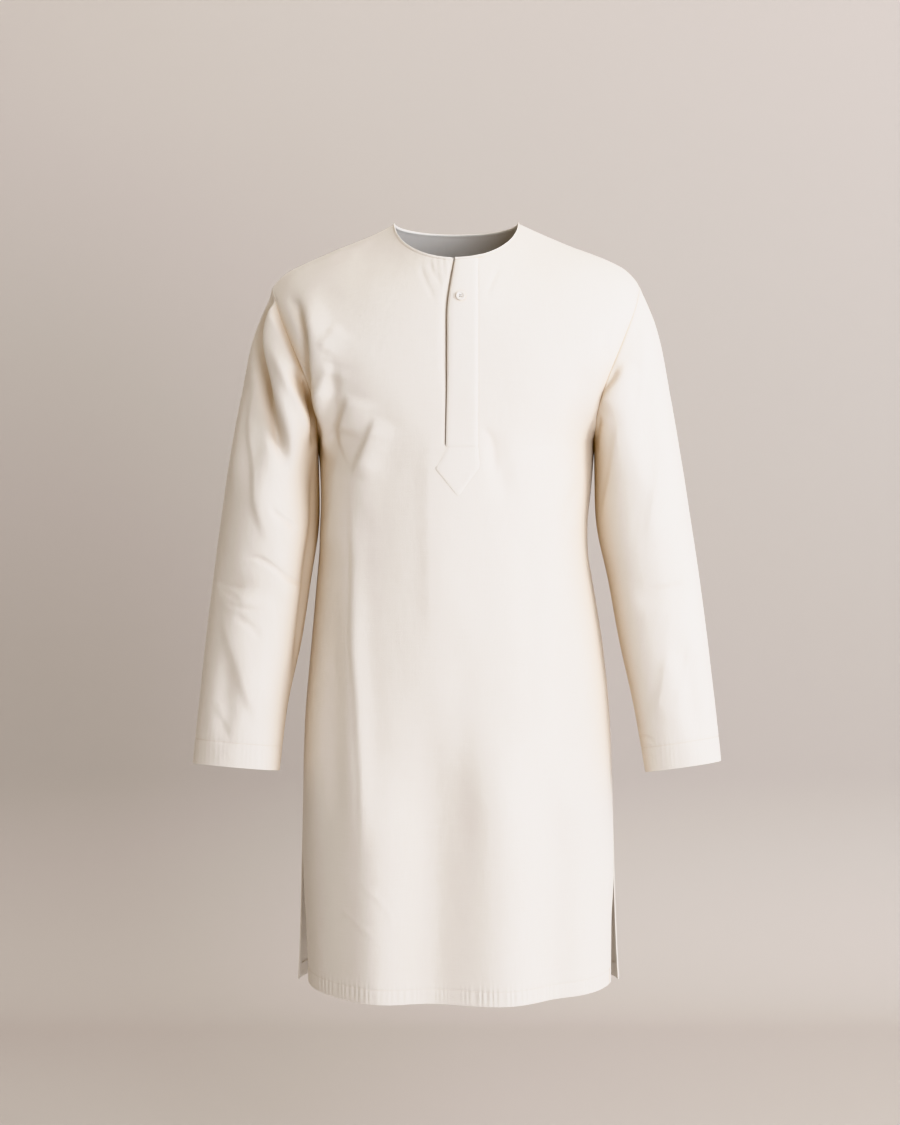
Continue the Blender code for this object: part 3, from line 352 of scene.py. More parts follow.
BACK_CREASES = (
    soft(0.007, -0.002, (-0.15, -0.205), (-0.118, -0.24), (-0.082, -0.262), (-0.05, -0.27)),
    soft(0.007, -0.002, (0.152, -0.215), (0.124, -0.256), (0.09, -0.284)),
    soft(0.005, -0.0013, (-0.148, -0.262), (-0.118, -0.29), (-0.085, -0.33)),
    soft(0.0055, -0.0014, (0.146, -0.276), (0.116, -0.318), (0.098, -0.366)),
    soft(0.012, -0.0012, (-0.045, -0.07), (-0.039, -0.12), (-0.03, -0.19)),
    soft(0.012, -0.0012, (0.05, -0.066), (0.048, -0.13), (0.04, -0.215)),
    soft(0.0075, 0.0014, (-0.112, -0.365), (-0.06, -0.382), (-0.006, -0.386)),
    soft(0.0075, 0.0012, (0.116, -0.38), (0.072, -0.398), (0.026, -0.402)),
    soft(0.007, -0.001, (-0.098, -0.41), (-0.052, -0.424), (-0.015, -0.42)),
    lapped(
        0.0036, 0.0013, (-0.056, -0.3), (-0.048, -0.42), (-0.042, -0.6), (-0.038, -0.93), ends=FoldEnds.TOP,
    ),
    sharp(0.0022, 0.0009, (0.118, -0.64), (0.104, -0.69), (0.08, -0.76)),
    sharp(0.0022, 0.0009, (-0.13, -0.76), (-0.106, -0.8), (-0.098, -0.85)),
)
SLEEVE_CREASES = {
    Side.RIGHT: (
        lapped(
            0.0085, 0.013, (17, -0.04), (19, -0.068), (24, -0.096), (31, -0.125), (46, -0.156), (64, -0.189),
            (77, -0.212), (94, -0.241), (108, -0.266), (122, -0.296),
        ),
        soft(
            0.0095, -0.0135, (4, -0.058), (6, -0.077), (10, -0.096), (14, -0.125), (29, -0.158), (49, -0.189),
            (63, -0.212), (81, -0.241), (97, -0.268), (113, -0.298),
        ),
        lapped(
            0.006, 0.006, (38, -0.134), (65, -0.168), (83, -0.19), (100, -0.211), (117, -0.237),
            (136, -0.266),
        ),
        soft(0.01, -0.0165, (76, -0.16), (94, -0.184), (112, -0.208), (131, -0.236), (148, -0.268)),
        lapped(
            0.006, 0.0035, (28, -0.18), (46, -0.244), (70, -0.303), (75, -0.33), (83, -0.353), (101, -0.386),
        ),
        soft(0.011, -0.0085, (150, -0.262), (160, -0.331), (157, -0.404), (161, -0.455), (166, -0.56)),
        soft(0.0032, -0.0016, (89, -0.335), (108, -0.35), (128, -0.366)),
        soft(0.003, -0.002, (60, -0.396), (83, -0.397), (101, -0.407), (116, -0.418), (157, -0.438)),
        soft(0.0028, -0.0013, (20, -0.429), (53, -0.433), (76, -0.434)),
        soft(0.0028, -0.0013, (30, -0.438), (55, -0.444), (76, -0.456)),
        soft(0.0028, -0.0014, (44, -0.45), (71, -0.458), (100, -0.461)),
        soft(0.004, -0.0013, (62, -0.466), (86, -0.481), (102, -0.498)),
        lapped(
            0.008, 0.003, (42, -0.46), (63, -0.498), (78, -0.529), (93, -0.558), (110, -0.585), (121, -0.607),
        ),
        lapped(0.005, 0.0014, (52, -0.574), (70, -0.596), (90, -0.617)),
        soft(0.0065, -0.0036, (-14, -0.108), (-42, -0.158), (-76, -0.205), (-104, -0.262)),
        soft(0.006, -0.0046, (-98, -0.182), (-124, -0.222), (-152, -0.266)),
        soft(0.006, -0.0026, (-34, -0.23), (-52, -0.298), (-70, -0.356)),
        soft(0.0034, -0.002, (-40, -0.392), (-78, -0.402), (-120, -0.424)),
        soft(0.0034, -0.0017, (-56, -0.434), (-92, -0.452), (-136, -0.462)),
        soft(0.0055, -0.0024, (-48, -0.486), (-70, -0.536), (-96, -0.584)),
    ),
    Side.LEFT: (
        lapped(0.0055, 0.0046, (122, -0.216), (103, -0.2), (84, -0.184), (62, -0.158)),
        soft(0.005, -0.003, (132, -0.214), (113, -0.198), (94, -0.181), (76, -0.162)),
        lapped(0.0055, 0.002, (151, -0.362), (142, -0.327), (128, -0.294), (112, -0.261), (90, -0.218)),
        lapped(0.0065, 0.0018, (90, -0.388), (80, -0.337), (70, -0.305), (57, -0.265)),
        lapped(0.005, 0.0012, (87, -0.252), (61, -0.201), (34, -0.135), (7, -0.089)),
        lapped(0.0065, 0.002, (126, -0.598), (105, -0.557), (88, -0.508)),
        lapped(0.0065, 0.0015, (95, -0.584), (70, -0.544), (50, -0.494)),
        soft(0.0028, -0.0011, (106, -0.436), (74, -0.433), (44, -0.43)),
        soft(0.0028, -0.0011, (170, -0.619), (142, -0.621), (130, -0.628)),
        soft(0.006, -0.003, (120, -0.222), (140, -0.246), (160, -0.276)),
        soft(0.006, -0.0028, (-18, -0.104), (-48, -0.166), (-84, -0.226)),
        soft(0.006, -0.0042, (-94, -0.186), (-120, -0.226), (-150, -0.27)),
        soft(0.0034, -0.0018, (-44, -0.398), (-84, -0.408), (-128, -0.43)),
        soft(0.0034, -0.0015, (-60, -0.446), (-96, -0.452), (-130, -0.47)),
        soft(0.0055, -0.002, (-52, -0.5), (-72, -0.556), (-84, -0.612)),
    ),
}


# ---------------------------------------------------------------- curves
CURVE_SAMPLES = 200
ROUNDING_SAMPLES = 601
ROUNDING_REACH = 3  # how many lengths the evening out reaches each way


def hermite(
    start: np.ndarray, leaving: np.ndarray, end: np.ndarray, arriving: np.ndarray, t: np.ndarray | float
) -> np.ndarray:
    """Read the cubic from start to end with given directions at its ends.

    Args:
        start: Where it starts.
        leaving: Its direction there, over the whole step.
        end: Where it ends.
        arriving: Its direction there.
        t: Places along it, from 0 to 1.

    Returns:
        The points at t.
    """
    cube, square = t**3, t**2
    ends = start * (2 * cube - 3 * square + 1) + end * (3 * square - 2 * cube)
    return ends + leaving * (cube - 2 * square + t) + arriving * (cube - square)


def spline(knots: Sequence[float], values: Sequence, at: Sequence[float]) -> np.ndarray:
    """Read a smooth curve through values at rising knots.

    Args:
        knots: Rising places of the values.
        values: Numbers or points, one for each knot.
        at: Places to read.

    Returns:
        The curve's values at those places.
    """
    knots, values, at = np.asarray(knots, float), np.asarray(values, float), np.asarray(at, float)
    steps = np.diff(knots)
    slopes = (np.diff(values, axis=0).T / steps).T
    inner = ((slopes[:-1].T * steps[1:] + slopes[1:].T * steps[:-1]) / (steps[1:] + steps[:-1])).T
    tangents = np.concatenate([slopes[:1], inner, slopes[-1:]])
    place = np.clip(np.searchsorted(knots, at, side="right") - 1, 0, len(steps) - 1)
    step = steps[place]
    t = (at - knots[place]) / step
    leaving, arriving = tangents[place].T * step, tangents[place + 1].T * step
    return hermite(values[place].T, leaving, values[place + 1].T, arriving, t).T


def by_height(table: Sequence, name: str, z: Sequence[float] | float) -> np.ndarray:
    """Read a column of a table, whose rows run downwards, at heights."""
    knots, z = [-row.z for row in table], np.asarray(z, float)
    return spline(knots, [getattr(row, name) for row in table], -z.ravel()).reshape(z.shape)


def run_lengths(points: np.ndarray) -> np.ndarray:
    """Add up the distances along lines of points.

    Args:
        points: The points, running along the last axis but one.

    Returns:
        The distance of each point from its line's start.
    """
    steps = np.linalg.norm(np.diff(points, axis=-2), axis=-1)
    start = np.zeros(steps.shape[:-1] + (1,))
    return np.concatenate([start, np.cumsum(steps, axis=-1)], axis=-1)


def fall_lengths(points: np.ndarray) -> np.ndarray:
    """Add up the distances down each column of a grid of points."""
    return run_lengths(points.transpose(1, 0, 2)).T


def read_at(values: np.ndarray, knots: np.ndarray, at: np.ndarray) -> np.ndarray:
    """Read points or directions in a straight line between their knots."""
    return np.stack([np.interp(at, knots, line) for line in values.T], axis=1)


def evened(points: np.ndarray, count: int) -> np.ndarray:
    """Space count + 1 points evenly along a line of points."""
    lengths = run_lengths(points)
    return read_at(points, lengths, np.linspace(0, lengths[-1], count + 1))


def halved(points: np.ndarray) -> np.ndarray:
    """Add a point halfway along each step of a line of points."""
    return read_at(points, np.arange(len(points)), np.arange(2 * len(points) - 1) / 2)


def through(points: Sequence, count: int) -> np.ndarray:
    """Space points evenly on a smooth curve through a few points.

    Args:
        points: The few points.
        count: How many steps there are between the even ones.

    Returns:
        The even points, one more than the steps.
    """
    points = np.asarray(points, float)
    knots = run_lengths(points)
    return evened(spline(knots, points, np.linspace(0, knots[-1], CURVE_SAMPLES)), count)


def rounded(values: np.ndarray, knots: np.ndarray, length: float) -> np.ndarray:
    """Even out values over a length, keeping their two ends.

    Args:
        values: One row for each knot.
        knots: Distances of the rows.
        length: The length over which they are evened out.

    Returns:
        The evened values at the same knots.
    """
    dense = np.linspace(knots[0], knots[-1], ROUNDING_SAMPLES)
    filled = read_at(values, knots, dense)
    reach = int(ROUNDING_REACH * length / (dense[1] - dense[0]))
    before, after = 2 * filled[0] - filled[reach:0:-1], 2 * filled[-1] - filled[-2 : -reach - 2 : -1]
    padded = np.concatenate([before, filled, after])
    weights = np.exp(-0.5 * (np.arange(-reach, reach + 1) * (dense[1] - dense[0]) / length) ** 2)
    weights /= weights.sum()
    smooth = np.stack([np.convolve(line, weights, "valid") for line in padded.T], axis=1)
    return read_at(smooth, dense, knots)


def eased(t: np.ndarray | float) -> np.ndarray:
    """Ease from 0 to 1."""
    t = np.clip(t, 0.0, 1.0)
    return t * t * (3 - 2 * t)


def bell(distance: np.ndarray, width: float) -> np.ndarray:
    """Read a bell curve, 1 in its middle."""
    return np.exp(-((distance / width) ** 2))


def unit(vectors: np.ndarray) -> np.ndarray:
    """Make vectors of length 1."""
    return vectors / np.maximum(np.linalg.norm(vectors, axis=-1, keepdims=True), 1e-12)


def squared(vectors: np.ndarray, axes: np.ndarray) -> np.ndarray:
    """Turn vectors square to unit vectors, with length 1."""
    return unit(vectors - axes * (vectors * axes).sum(axis=1, keepdims=True))


def grain(u: np.ndarray, v: np.ndarray, seed: int) -> np.ndarray:
    """Read smooth, even noise between -1 and 1 on a plane.

    Args:
        u: First coordinate, in cells.
        v: Second coordinate, in cells.
        seed: Which pattern.

    Returns:
        The noise at each place.
    """

    def corner(i: np.ndarray, j: np.ndarray) -> np.ndarray:
        """Give each corner of the cells its own number."""
        mixed = np.sin(i * 127.1 + j * 311.7 + seed * 74.7) * 43758.5453
        return 2 * (mixed - np.floor(mixed)) - 1

    i, j = np.floor(u), np.floor(v)
    s, t = eased(u - i), eased(v - j)
    low = corner(i, j) * (1 - s) + corner(i + 1, j) * s
    high = corner(i, j + 1) * (1 - s) + corner(i + 1, j + 1) * s
    return low * (1 - t) + high * t


# ---------------------------------------------------------------- folds
FOLD_TOP_FADE = 0.40
FOLD_END_FADE = 0.35
LAP_SLOPE = 3.5  # how much wider the far side of a lapped crease is than its near side
SHARPNESS = 1.3  # the power of a sharp crease's section, where a soft one has 2
CREASE_STEPS = 28
CREASE_FADE = 0.28
CREASE_REACH = 3  # half widths beyond which a crease is not worked out


def fold_section(shape: FoldShape, distance: np.ndarray) -> np.ndarray:
    """Shape a fold's section.

    Args:
        shape: Its kind.
        distance: Signed distance from the fold's line, in half widths.

    Returns:
        The section's height, 1 on its line.
    """
    if shape is FoldShape.SOFT:
        return bell(distance, 1.0)
    if shape is FoldShape.CREASE:
        return np.exp(-np.abs(distance) ** SHARPNESS)
    return np.where(distance > 0, bell(distance, 1.0), bell(distance, LAP_SLOPE))


def lift_of(folds: Sequence[Fold], across: np.ndarray, down: np.ndarray, degree: float = 0.0) -> np.ndarray:
    """Work out how far folds move the cloth outwards.

    Args:
        folds: The folds.
        across: Places across the cloth, in metres, or in degrees round a sleeve.
        down: Heights.
        degree: On a sleeve, the width that a degree counts for.

    Returns:
        The lift at each place.
    """
    total = np.zeros(np.broadcast(across, down).shape)
    scale = degree if degree else 1.0
    for fold in folds:
        middle_x, middle_z = (fold.x0 + fold.x1) / 2, (fold.z0 + fold.z1) / 2
        away = across - middle_x
        if degree:
            away = (away + 180.0) % 360.0 - 180.0
        away, fall = away * scale, down - middle_z
        run = np.array([(fold.x1 - fold.x0) * scale, fold.z1 - fold.z0])
        length = float(np.hypot(*run))
        run /= length
        t = 0.5 + (away * run[0] + fall * run[1]) / length
        distance = away * run[1] - fall * run[0]
        if fold.ends is FoldEnds.TOP:
            fade = eased(t / FOLD_TOP_FADE)
        else:
            fade = eased(t / FOLD_END_FADE) * eased((1 - t) / FOLD_END_FADE)
        total = total + fold.lift * fold_section(FoldShape.SOFT, distance / fold.half_width) * fade
    return total


def creased(
    creases: Sequence[Crease], across: np.ndarray, down: np.ndarray, degree: float = 1.0
) -> np.ndarray:
    """Work out how far creases move the cloth outwards.

    Args:
        creases: The creases.
        across: Places across the cloth, in metres, or in degrees round a sleeve.
        down: Heights.
        degree: On a sleeve, the width that a degree counts for.

    Returns:
        The lift at each place.
    """
    across, down = np.broadcast_arrays(across * degree, down)
    total = np.zeros(across.shape)
    for crease in creases:
        line = through([(x * degree, z) for x, z in crease.path], CREASE_STEPS)
        reach = CREASE_REACH * crease.half_width * (LAP_SLOPE if crease.shape is FoldShape.LAP else 1)
        low, high = line.min(axis=0) - reach, line.max(axis=0) + reach
        near = (across > low[0]) & (across < high[0]) & (down > low[1]) & (down < high[1])
        places = np.stack([across[near], down[near]], axis=-1)
        run = np.diff(line, axis=0)
        lengths = np.linalg.norm(run, axis=1)
        way = run / lengths[:, None]
        best = np.full(len(places), np.inf)
        signed, travelled = np.zeros(len(places)), np.zeros(len(places))
        for step, start in enumerate(line[:-1]):
            away = places - start
            ahead = away @ way[step]
            first, last = step == 0, step == len(run) - 1
            held = np.clip(ahead, -np.inf if first else 0, np.inf if last else lengths[step])
            gap = np.linalg.norm(away - held[:, None] * way[step], axis=1)
            closer = gap < best
            beside = away[:, 0] * way[step][1] - away[:, 1] * way[step][0]
            best = np.where(closer, gap, best)
            signed = np.where(closer, np.copysign(gap, beside), signed)
            travelled = np.where(closer, lengths[:step].sum() + held, travelled)
        t = travelled / lengths.sum()
        fade = eased(t / CREASE_FADE)
        if crease.ends is FoldEnds.BOTH:
            fade = fade * eased((1 - t) / CREASE_FADE)
        total[near] += crease.lift * fold_section(crease.shape, signed / crease.half_width) * fade
    return total


# ---------------------------------------------------------------- the surface
@dataclass
class TunicCut:
    """The tunic's driving sizes, and the seams that its pieces share."""

    cloth: float = 0.0010
    seam_gap: float = 0.0002
    solid_wall: float = 0.0012
    laid_gap: float = 0.0004
    shoulder_rows: int = 7
    armhole_rows: int = 11
    side_rows: int = 10
    skirt_rows: int = 8
    fine_shoulder: int = 5
    fine_armhole: int = 6
    fine_side: int = 8
    fine_skirt: int = 9
    front_tip_z: float = -0.152
    back_tip_z: float = -0.140
    shoulder_round: float = 1.5
    shoulder_round_soon: float = 0.6
    shoulder_round_lost: float = 0.7
    slit_turn: float = 9.0
    underarm_z: float = -0.262
    slit_top_z: float = -0.6135
    hem_z: float = -0.943
    hem_corner_z: float = -0.936
    back_corner_z: float = -0.9405
    placket_end_z: float = -0.2545
    side_seam_y: float = 0.0080
    front_slit_shift: float = -0.0280
    back_slit_shift: float = 0.0050
    back_flare: float = 0.0090
    slit_parts: dict[Side, tuple[float, float, float]] = field(
        default_factory=lambda: {Side.RIGHT: (-0.750, -0.940, 0.0050), Side.LEFT: (-0.795, -0.870, 0.0028)}
    )
    corner_round: float = 0.030
    edge_spread: int = 9
    row_samples: int = 240

    def shoulder_seam(self, side: Side) -> np.ndarray:
        """Space points along a shoulder seam, from the neck out."""
        points = [(side.value * row.x, row.y, row.z) for row in SHOULDER[side]]
        return through(points, self.shoulder_rows)

    def armhole_seam(self, side: Side, table: Sequence[ArmholeRow]) -> np.ndarray:
        """Space points along half an armhole.

        Args:
            side: Which side of the wearer.
            table: The armhole's rows, in front or at the back.

        Returns:
            The points, from the shoulder tip to the underarm.
        """
        points = [(side.value * row.x, row.y, row.z) for row in (SHOULDER[side][-1], *table)]
        points.append((side.value * getattr(FLANK[0], side.word), self.side_seam_y, self.underarm_z))
        return through(points, self.armhole_rows)

    def side_levels(self) -> np.ndarray:
        """List the heights of the rows below the underarm's own.

        Returns:
            The heights, down to the hem.
        """
        upper = np.linspace(self.underarm_z, self.slit_top_z, self.side_rows + 1)[1:]
        lower = np.linspace(self.slit_top_z, self.hem_z, self.skirt_rows + 1)[1:]
        return np.concatenate([upper, lower])

    def below_slit(self, z: np.ndarray | float) -> np.ndarray:
        """Ease from 0 at the slit's top to 1 at the hem."""
        return eased((self.slit_top_z - z) / (self.slit_top_z - self.hem_z))

    def flank_edge(self, side: Side, front: bool) -> np.ndarray:
        """Place a panel's edge from just below the underarm to the hem.

        Args:
            side: Which side of the wearer.
            front: Whether it is the front panel's edge.

        Returns:
            One point for each of side_levels.
        """
        z = self.side_levels()
        parted = np.clip((self.slit_top_z - z) / (self.slit_top_z - self.hem_z), 0, 1)
        reach = by_height(FLANK, side.word, z)
        depth = self.side_seam_y + (self.front_slit_shift if front else self.back_slit_shift) * parted
        corner = self.hem_corner_z if front else self.back_corner_z
        if front:
            start, stop, gap = self.slit_parts[side]
            reach = reach - gap * eased((start - z) / (start - stop))
        else:
            reach = reach + self.back_flare * parted**3
        height = z + (corner - self.hem_z) * self.below_slit(z)
        return np.stack([side.value * reach, depth, height], axis=1)

    def fine_rows(self) -> np.ndarray:
        """List the fine rows, closer together at the hem.

        Returns:
            Their places, counted in coarse rows.
        """
        counts = (self.shoulder_rows, self.armhole_rows, self.side_rows, self.skirt_rows - 1)
        parts = (self.fine_shoulder, self.fine_armhole, self.fine_side, self.fine_skirt)
        starts = np.cumsum((0, *counts))
        rows = [np.arange(start, stop, 1 / part) for start, stop, part in zip(starts, starts[1:], parts)]
        step = (self.slit_top_z - self.hem_z) / self.skirt_rows
        rows.append(starts[-1] + 1 - HEM_STEPS / step)
        return np.concatenate(rows)

    def armhole_span(self) -> slice:
        """Find the fine rows that end on the armhole."""
        start = self.shoulder_rows * self.fine_shoulder
        return slice(start, start + self.armhole_rows * self.fine_armhole + 1)

    def placket_row(self) -> int:
        """Find the fine row at the foot of the front opening."""
        return self.armhole_span().stop - 1 - self.fine_armhole

    def slit_row(self) -> int:
        """Find the fine row at the top of the side slits."""
        return self.armhole_span().stop - 1 + self.side_rows * self.fine_side


# Distances from a border of the last lines of points before it.
HEM_STEPS = np.array(
    [0.0410, 0.0360, 0.0315, 0.0275, 0.0240, 0.0215, 0.0195, 0.0180]
    + [0.0165, 0.0145, 0.0115, 0.0085, 0.0055, 0.0030, 0.0012, 0.0000]
)
CUFF_STEPS = np.array(
    [0.0450, 0.0410, 0.0375, 0.0345, 0.0320, 0.0300, 0.0280, 0.0255, 0.0220]
    + [0.0180, 0.0140, 0.0100, 0.0065, 0.0035, 0.0013, 0.0000]
)
EDGE_STEPS = np.array([0.0075, 0.0050, 0.0032, 0.0018, 0.0008, 0.0000])


@dataclass(frozen=True)
class Turn:
    """Cloth turned under at a border: how far in and behind each line lies, and the flat cloth it takes."""

    inward: tuple[float, ...]
    behind: tuple[float, ...]
    flat: tuple[float, ...] = ()

    @property
    def width(self) -> float:
        """How far in the last line lies, which is where a hem is sewn."""
        return self.inward[-1]

    def lines(self) -> tuple[np.ndarray, np.ndarray]:
        """Give the distances in and behind, one row for each line."""
        return np.array(self.inward)[:, None], np.array(self.behind)[:, None]

    def steps(self) -> np.ndarray:
        """Give the flat cloth as steps down, one row for each line."""
        return np.stack([0 * np.array(self.flat), np.array(self.flat)], axis=-1)[:, None]


ALLOWANCE = Turn((0.0002, 0.0004, 0.0012), (0.0007, 0.0030, 0.0068), (0.001, 0.004, 0.008))
SLIT_HEM = Turn((0.0, 0.0014, 0.008), (0.0008, 0.0014, 0.0014))
BODY_HEM = Turn(
    (0.0, 0.0016, 0.006, 0.012, 0.018),
    (0.0008, 0.0014, 0.0014, 0.0013, 0.0013),
    (0.001, 0.003, 0.008, 0.014, 0.020),
)
CUFF_HEM = Turn(
    (0.0, 0.0016, 0.006, 0.014, 0.022, 0.030),
    (0.0008, 0.0014, 0.0014, 0.0013, 0.0013, 0.0013),
    (0.001, 0.003, 0.008, 0.016, 0.024, 0.032),
)


@dataclass
class Cloth:
    """A sheet as a grid of points, rows running down, with its directions and its flat places.

    The hem value is how far up from the hem's fold each point is, in widths of the hem.
    """

    points: np.ndarray
    flat: np.ndarray
    outward: Vector | None = None
    hem: np.ndarray | None = None
    normals: np.ndarray = field(init=False)

    def __post_init__(self) -> None:
        """Work out which way the cloth faces."""
        self.refresh()

    def refresh(self) -> None:
        """Work the directions out again from the points."""
        down, across = np.gradient(self.points, axis=0), np.gradient(self.points, axis=1)
        normals = unit(np.cross(across, down))
        if self.outward is not None:
            middle = normals[normals.shape[0] // 2, normals.shape[1] // 2]
            if float(middle @ np.array(self.outward)) < 0:
                normals = -normals
        self.normals = normals

    def lifted(self, lift: np.ndarray) -> None:
        """Move the cloth outwards, and work its directions out again."""
        self.points = self.points + self.normals * lift[..., None]
        self.refresh()

    def along(self, rows: Sequence[float], columns: Sequence[float]) -> Line:
        """Read points and directions between the grid's own.

        Args:
            rows: Places down, in rows.
            columns: Places across, in columns.

        Returns:
            The points and the unit directions there.
        """
        rows, columns = np.broadcast_arrays(np.asarray(rows, float), np.asarray(columns, float))
        i = np.clip(np.floor(rows).astype(int), 0, self.points.shape[0] - 2)
        j = np.clip(np.floor(columns).astype(int), 0, self.points.shape[1] - 2)
        s, t = (rows - i)[..., None], (columns - j)[..., None]
        read = []
        for values in (self.points, self.normals):
            low = values[i, j] * (1 - t) + values[i, j + 1] * t
            high = values[i + 1, j] * (1 - t) + values[i + 1, j + 1] * t
            read.append(low * (1 - s) + high * s)
        return read[0], unit(read[1])


class PanelForm:
    """The front's or the back's surface: fine rows from the neckline down to the hem."""

    def __init__(self, cut: TunicCut, front: bool) -> None:
        """Work out the rows' centres, edges and roundness.

        Args:
            cut: The tunic's sizes.
            front: Whether it is the front.
        """
        self.cut, self.front = cut, front
        self.line = FRONT_LINE if front else BACK_LINE
        self.table = FRONT_ARMHOLE if front else BACK_ARMHOLE
        rows = cut.fine_rows()
        heights = self.centre_heights()
        edges = {side: self.edge(side) for side in Side}
        knots = run_lengths(edges[Side.RIGHT])
        turns = rounded(self.edge_turns()[:, None], knots, cut.corner_round)[:, 0]
        places = np.arange(len(heights)) / cut.shoulder_rows
        lost = cut.shoulder_round_lost * eased((places - 1) * cut.shoulder_rows / cut.armhole_rows)
        rounds = 1 + (cut.shoulder_round - 1) * eased(places / cut.shoulder_round_soon) * (1 - lost)
        centre_x = by_height(OPENING, "x", heights) if front else 0 * heights
        centre = np.stack([centre_x, by_height(self.line, "y", heights), heights], axis=1)
        index = np.arange(len(heights))
        self.centre = spline(index, centre, rows)
        self.edges = {side: spline(index, edges[side], rows) for side in Side}
        inner = {side: rounded(edges[side], knots, cut.corner_round) for side in Side}
        self.inner = {side: spline(index, inner[side], rows) for side in Side}
        self.turns = np.radians(spline(index, turns, rows))
        self.squares = by_height(self.line, "square", self.centre[:, 2])
        self.rounds = spline(index, rounds, rows)

    def edge(self, side: Side) -> np.ndarray:
        """Join a side's shoulder seam, armhole and flank.

        Args:
            side: Which side of the wearer.

        Returns:
            The edge as one line of points.
        """
        armhole = self.cut.armhole_seam(side, self.table)
        flank = self.cut.flank_edge(side, self.front)
        return np.concatenate([self.cut.shoulder_seam(side), armhole[1:], flank])

    def edge_turns(self) -> np.ndarray:
        """Say how far round the section has turned at its edge.

        Returns:
            The turn at each coarse row, in degrees.
        """
        places = np.linspace(0, 1, len(self.table) + 2)
        values = [90.0] + [row.turn for row in self.table] + [90.0]
        armhole = spline(places, values, np.linspace(0, 1, self.cut.armhole_rows + 1))
        skirt = 90.0 - self.cut.slit_turn * self.cut.below_slit(self.cut.side_levels())
        return np.concatenate([np.full(self.cut.shoulder_rows, 90.0), armhole, skirt])

    def centre_heights(self) -> np.ndarray:
        """List the heights at which the rows cross the middle.

        Returns:
            One height for each coarse row.
        """
        cut = self.cut
        tip = cut.front_tip_z if self.front else cut.back_tip_z
        shoulder = np.linspace(self.line[0].z, tip, cut.shoulder_rows + 1)
        armhole = np.linspace(tip, cut.placket_end_z, cut.armhole_rows)[1:]
        return np.concatenate([shoulder, armhole, [cut.underarm_z], cut.side_levels()])

    def row_line(self, row: int, side: Side, angles: np.ndarray) -> np.ndarray:
        """Place points of a row at angles from its centre, without folds.

        Args:
            row: The fine row.
            side: Which half of it.
            angles: Angles in radians, 0 in the middle.

        Returns:
            The points.
        """
        turn, square = self.turns[row], self.squares[row]
        centre, inner, edge = self.centre[row], self.inner[side][row], self.edges[side][row]
        turned = np.maximum(np.cos(angles), 0)
        at_edge = max(math.cos(turn), 0.0)
        fall = square * self.rounds[row]
        out = np.sin(angles) / math.sin(turn)
        back = (1 - turned**square) / (1 - at_edge**square)
        down = (1 - turned**fall) / (1 - at_edge**fall)
        blend = np.stack([out, back, down], axis=-1)
        near_edge = (angles / turn)[..., None] ** self.cut.edge_spread
        return centre + (inner - centre) * blend + (edge - inner) * near_edge

    def half(self, side: Side, near: np.ndarray, columns: int) -> np.ndarray:
        """Fill one half of the panel with points.

        Args:
            side: Which half.
            near: Distances from the middle of the first columns, one row of them for each fine row.
            columns: How many even columns follow, before those at the edge.

        Returns:
            The points, rows by columns, from the middle out.
        """
        filled = []
        for row in range(len(self.centre)):
            dense = np.linspace(0, self.turns[row], self.cut.row_samples)
            lengths = run_lengths(self.row_line(row, side, dense))
            total, start = lengths[-1], near[row][-1]
            even = np.linspace(start, total - EDGE_STEPS[0], columns + 1)[1:-1]
            wanted = np.concatenate([near[row], even, total - EDGE_STEPS])
            filled.append(self.row_line(row, side, np.interp(wanted, lengths, dense)))
        return np.stack(filled)

    def calm(self, points: np.ndarray, side: Side, over: float, slit_calm: float) -> np.ndarray:
        """Fade folds out at the seams, and less so at the free edges beside the slits.

        Args:
            points: One half's points.
            side: Which half.
            over: The distance over which they fade.
            slit_calm: How much of a fold is lost at a free edge.

        Returns:
            The share of each fold that is left.
        """
        near = eased(np.linalg.norm(points - self.edges[side][:, None], axis=-1) / over)
        free = np.sqrt(self.cut.below_slit(self.centre[:, 2])) * (1 - slit_calm)
        return near + (1 - near) * free[:, None]


# ---------------------------------------------------------------- meshes
CLOTH_UV = "cloth"
HEM_SHARE = "hem_share"
FAR_FROM_HEM = 9.0
MERGE = 0.00002  # how close two points are merged

# Noise cells per metre: across, along and through.
WARP_SLUBS = (900.0, 28.0, 1.0)
WEFT_SLUBS = (28.0, 900.0, 1.0)
TONE_CLOUDS = (9.0, 6.0, 1.0)
PUCKER_WANDER = (42.0, 3.0, 1.0)
PUCKER_PATCHES = (26.0, 4.0, 1.0)
CRINKLES = (62.0, 38.0, 1.0)
SHELL_CLOUDS = (260.0, 260.0, 620.0)


def deselect_all() -> None:
    """Leave nothing selected, so that an operator acts on the new piece alone."""
    if bpy.context.mode != "OBJECT":
        bpy.ops.object.mode_set(mode="OBJECT")
    bpy.ops.object.select_all(action="DESELECT")


def select_only(*pieces: Piece) -> None:
    """Select pieces, and make one of them active.

    Args:
        pieces: The objects, the active one first.
    """
    deselect_all()
    for piece in pieces:
        piece.select_set(True)
    bpy.context.view_layer.objects.active = pieces[0]


def apply_modifiers(piece: Piece) -> None:
    """Apply all of a piece's modifiers in order."""
    select_only(piece)
    for modifier in list(piece.modifiers):
        bpy.ops.object.modifier_apply(modifier=modifier.name)


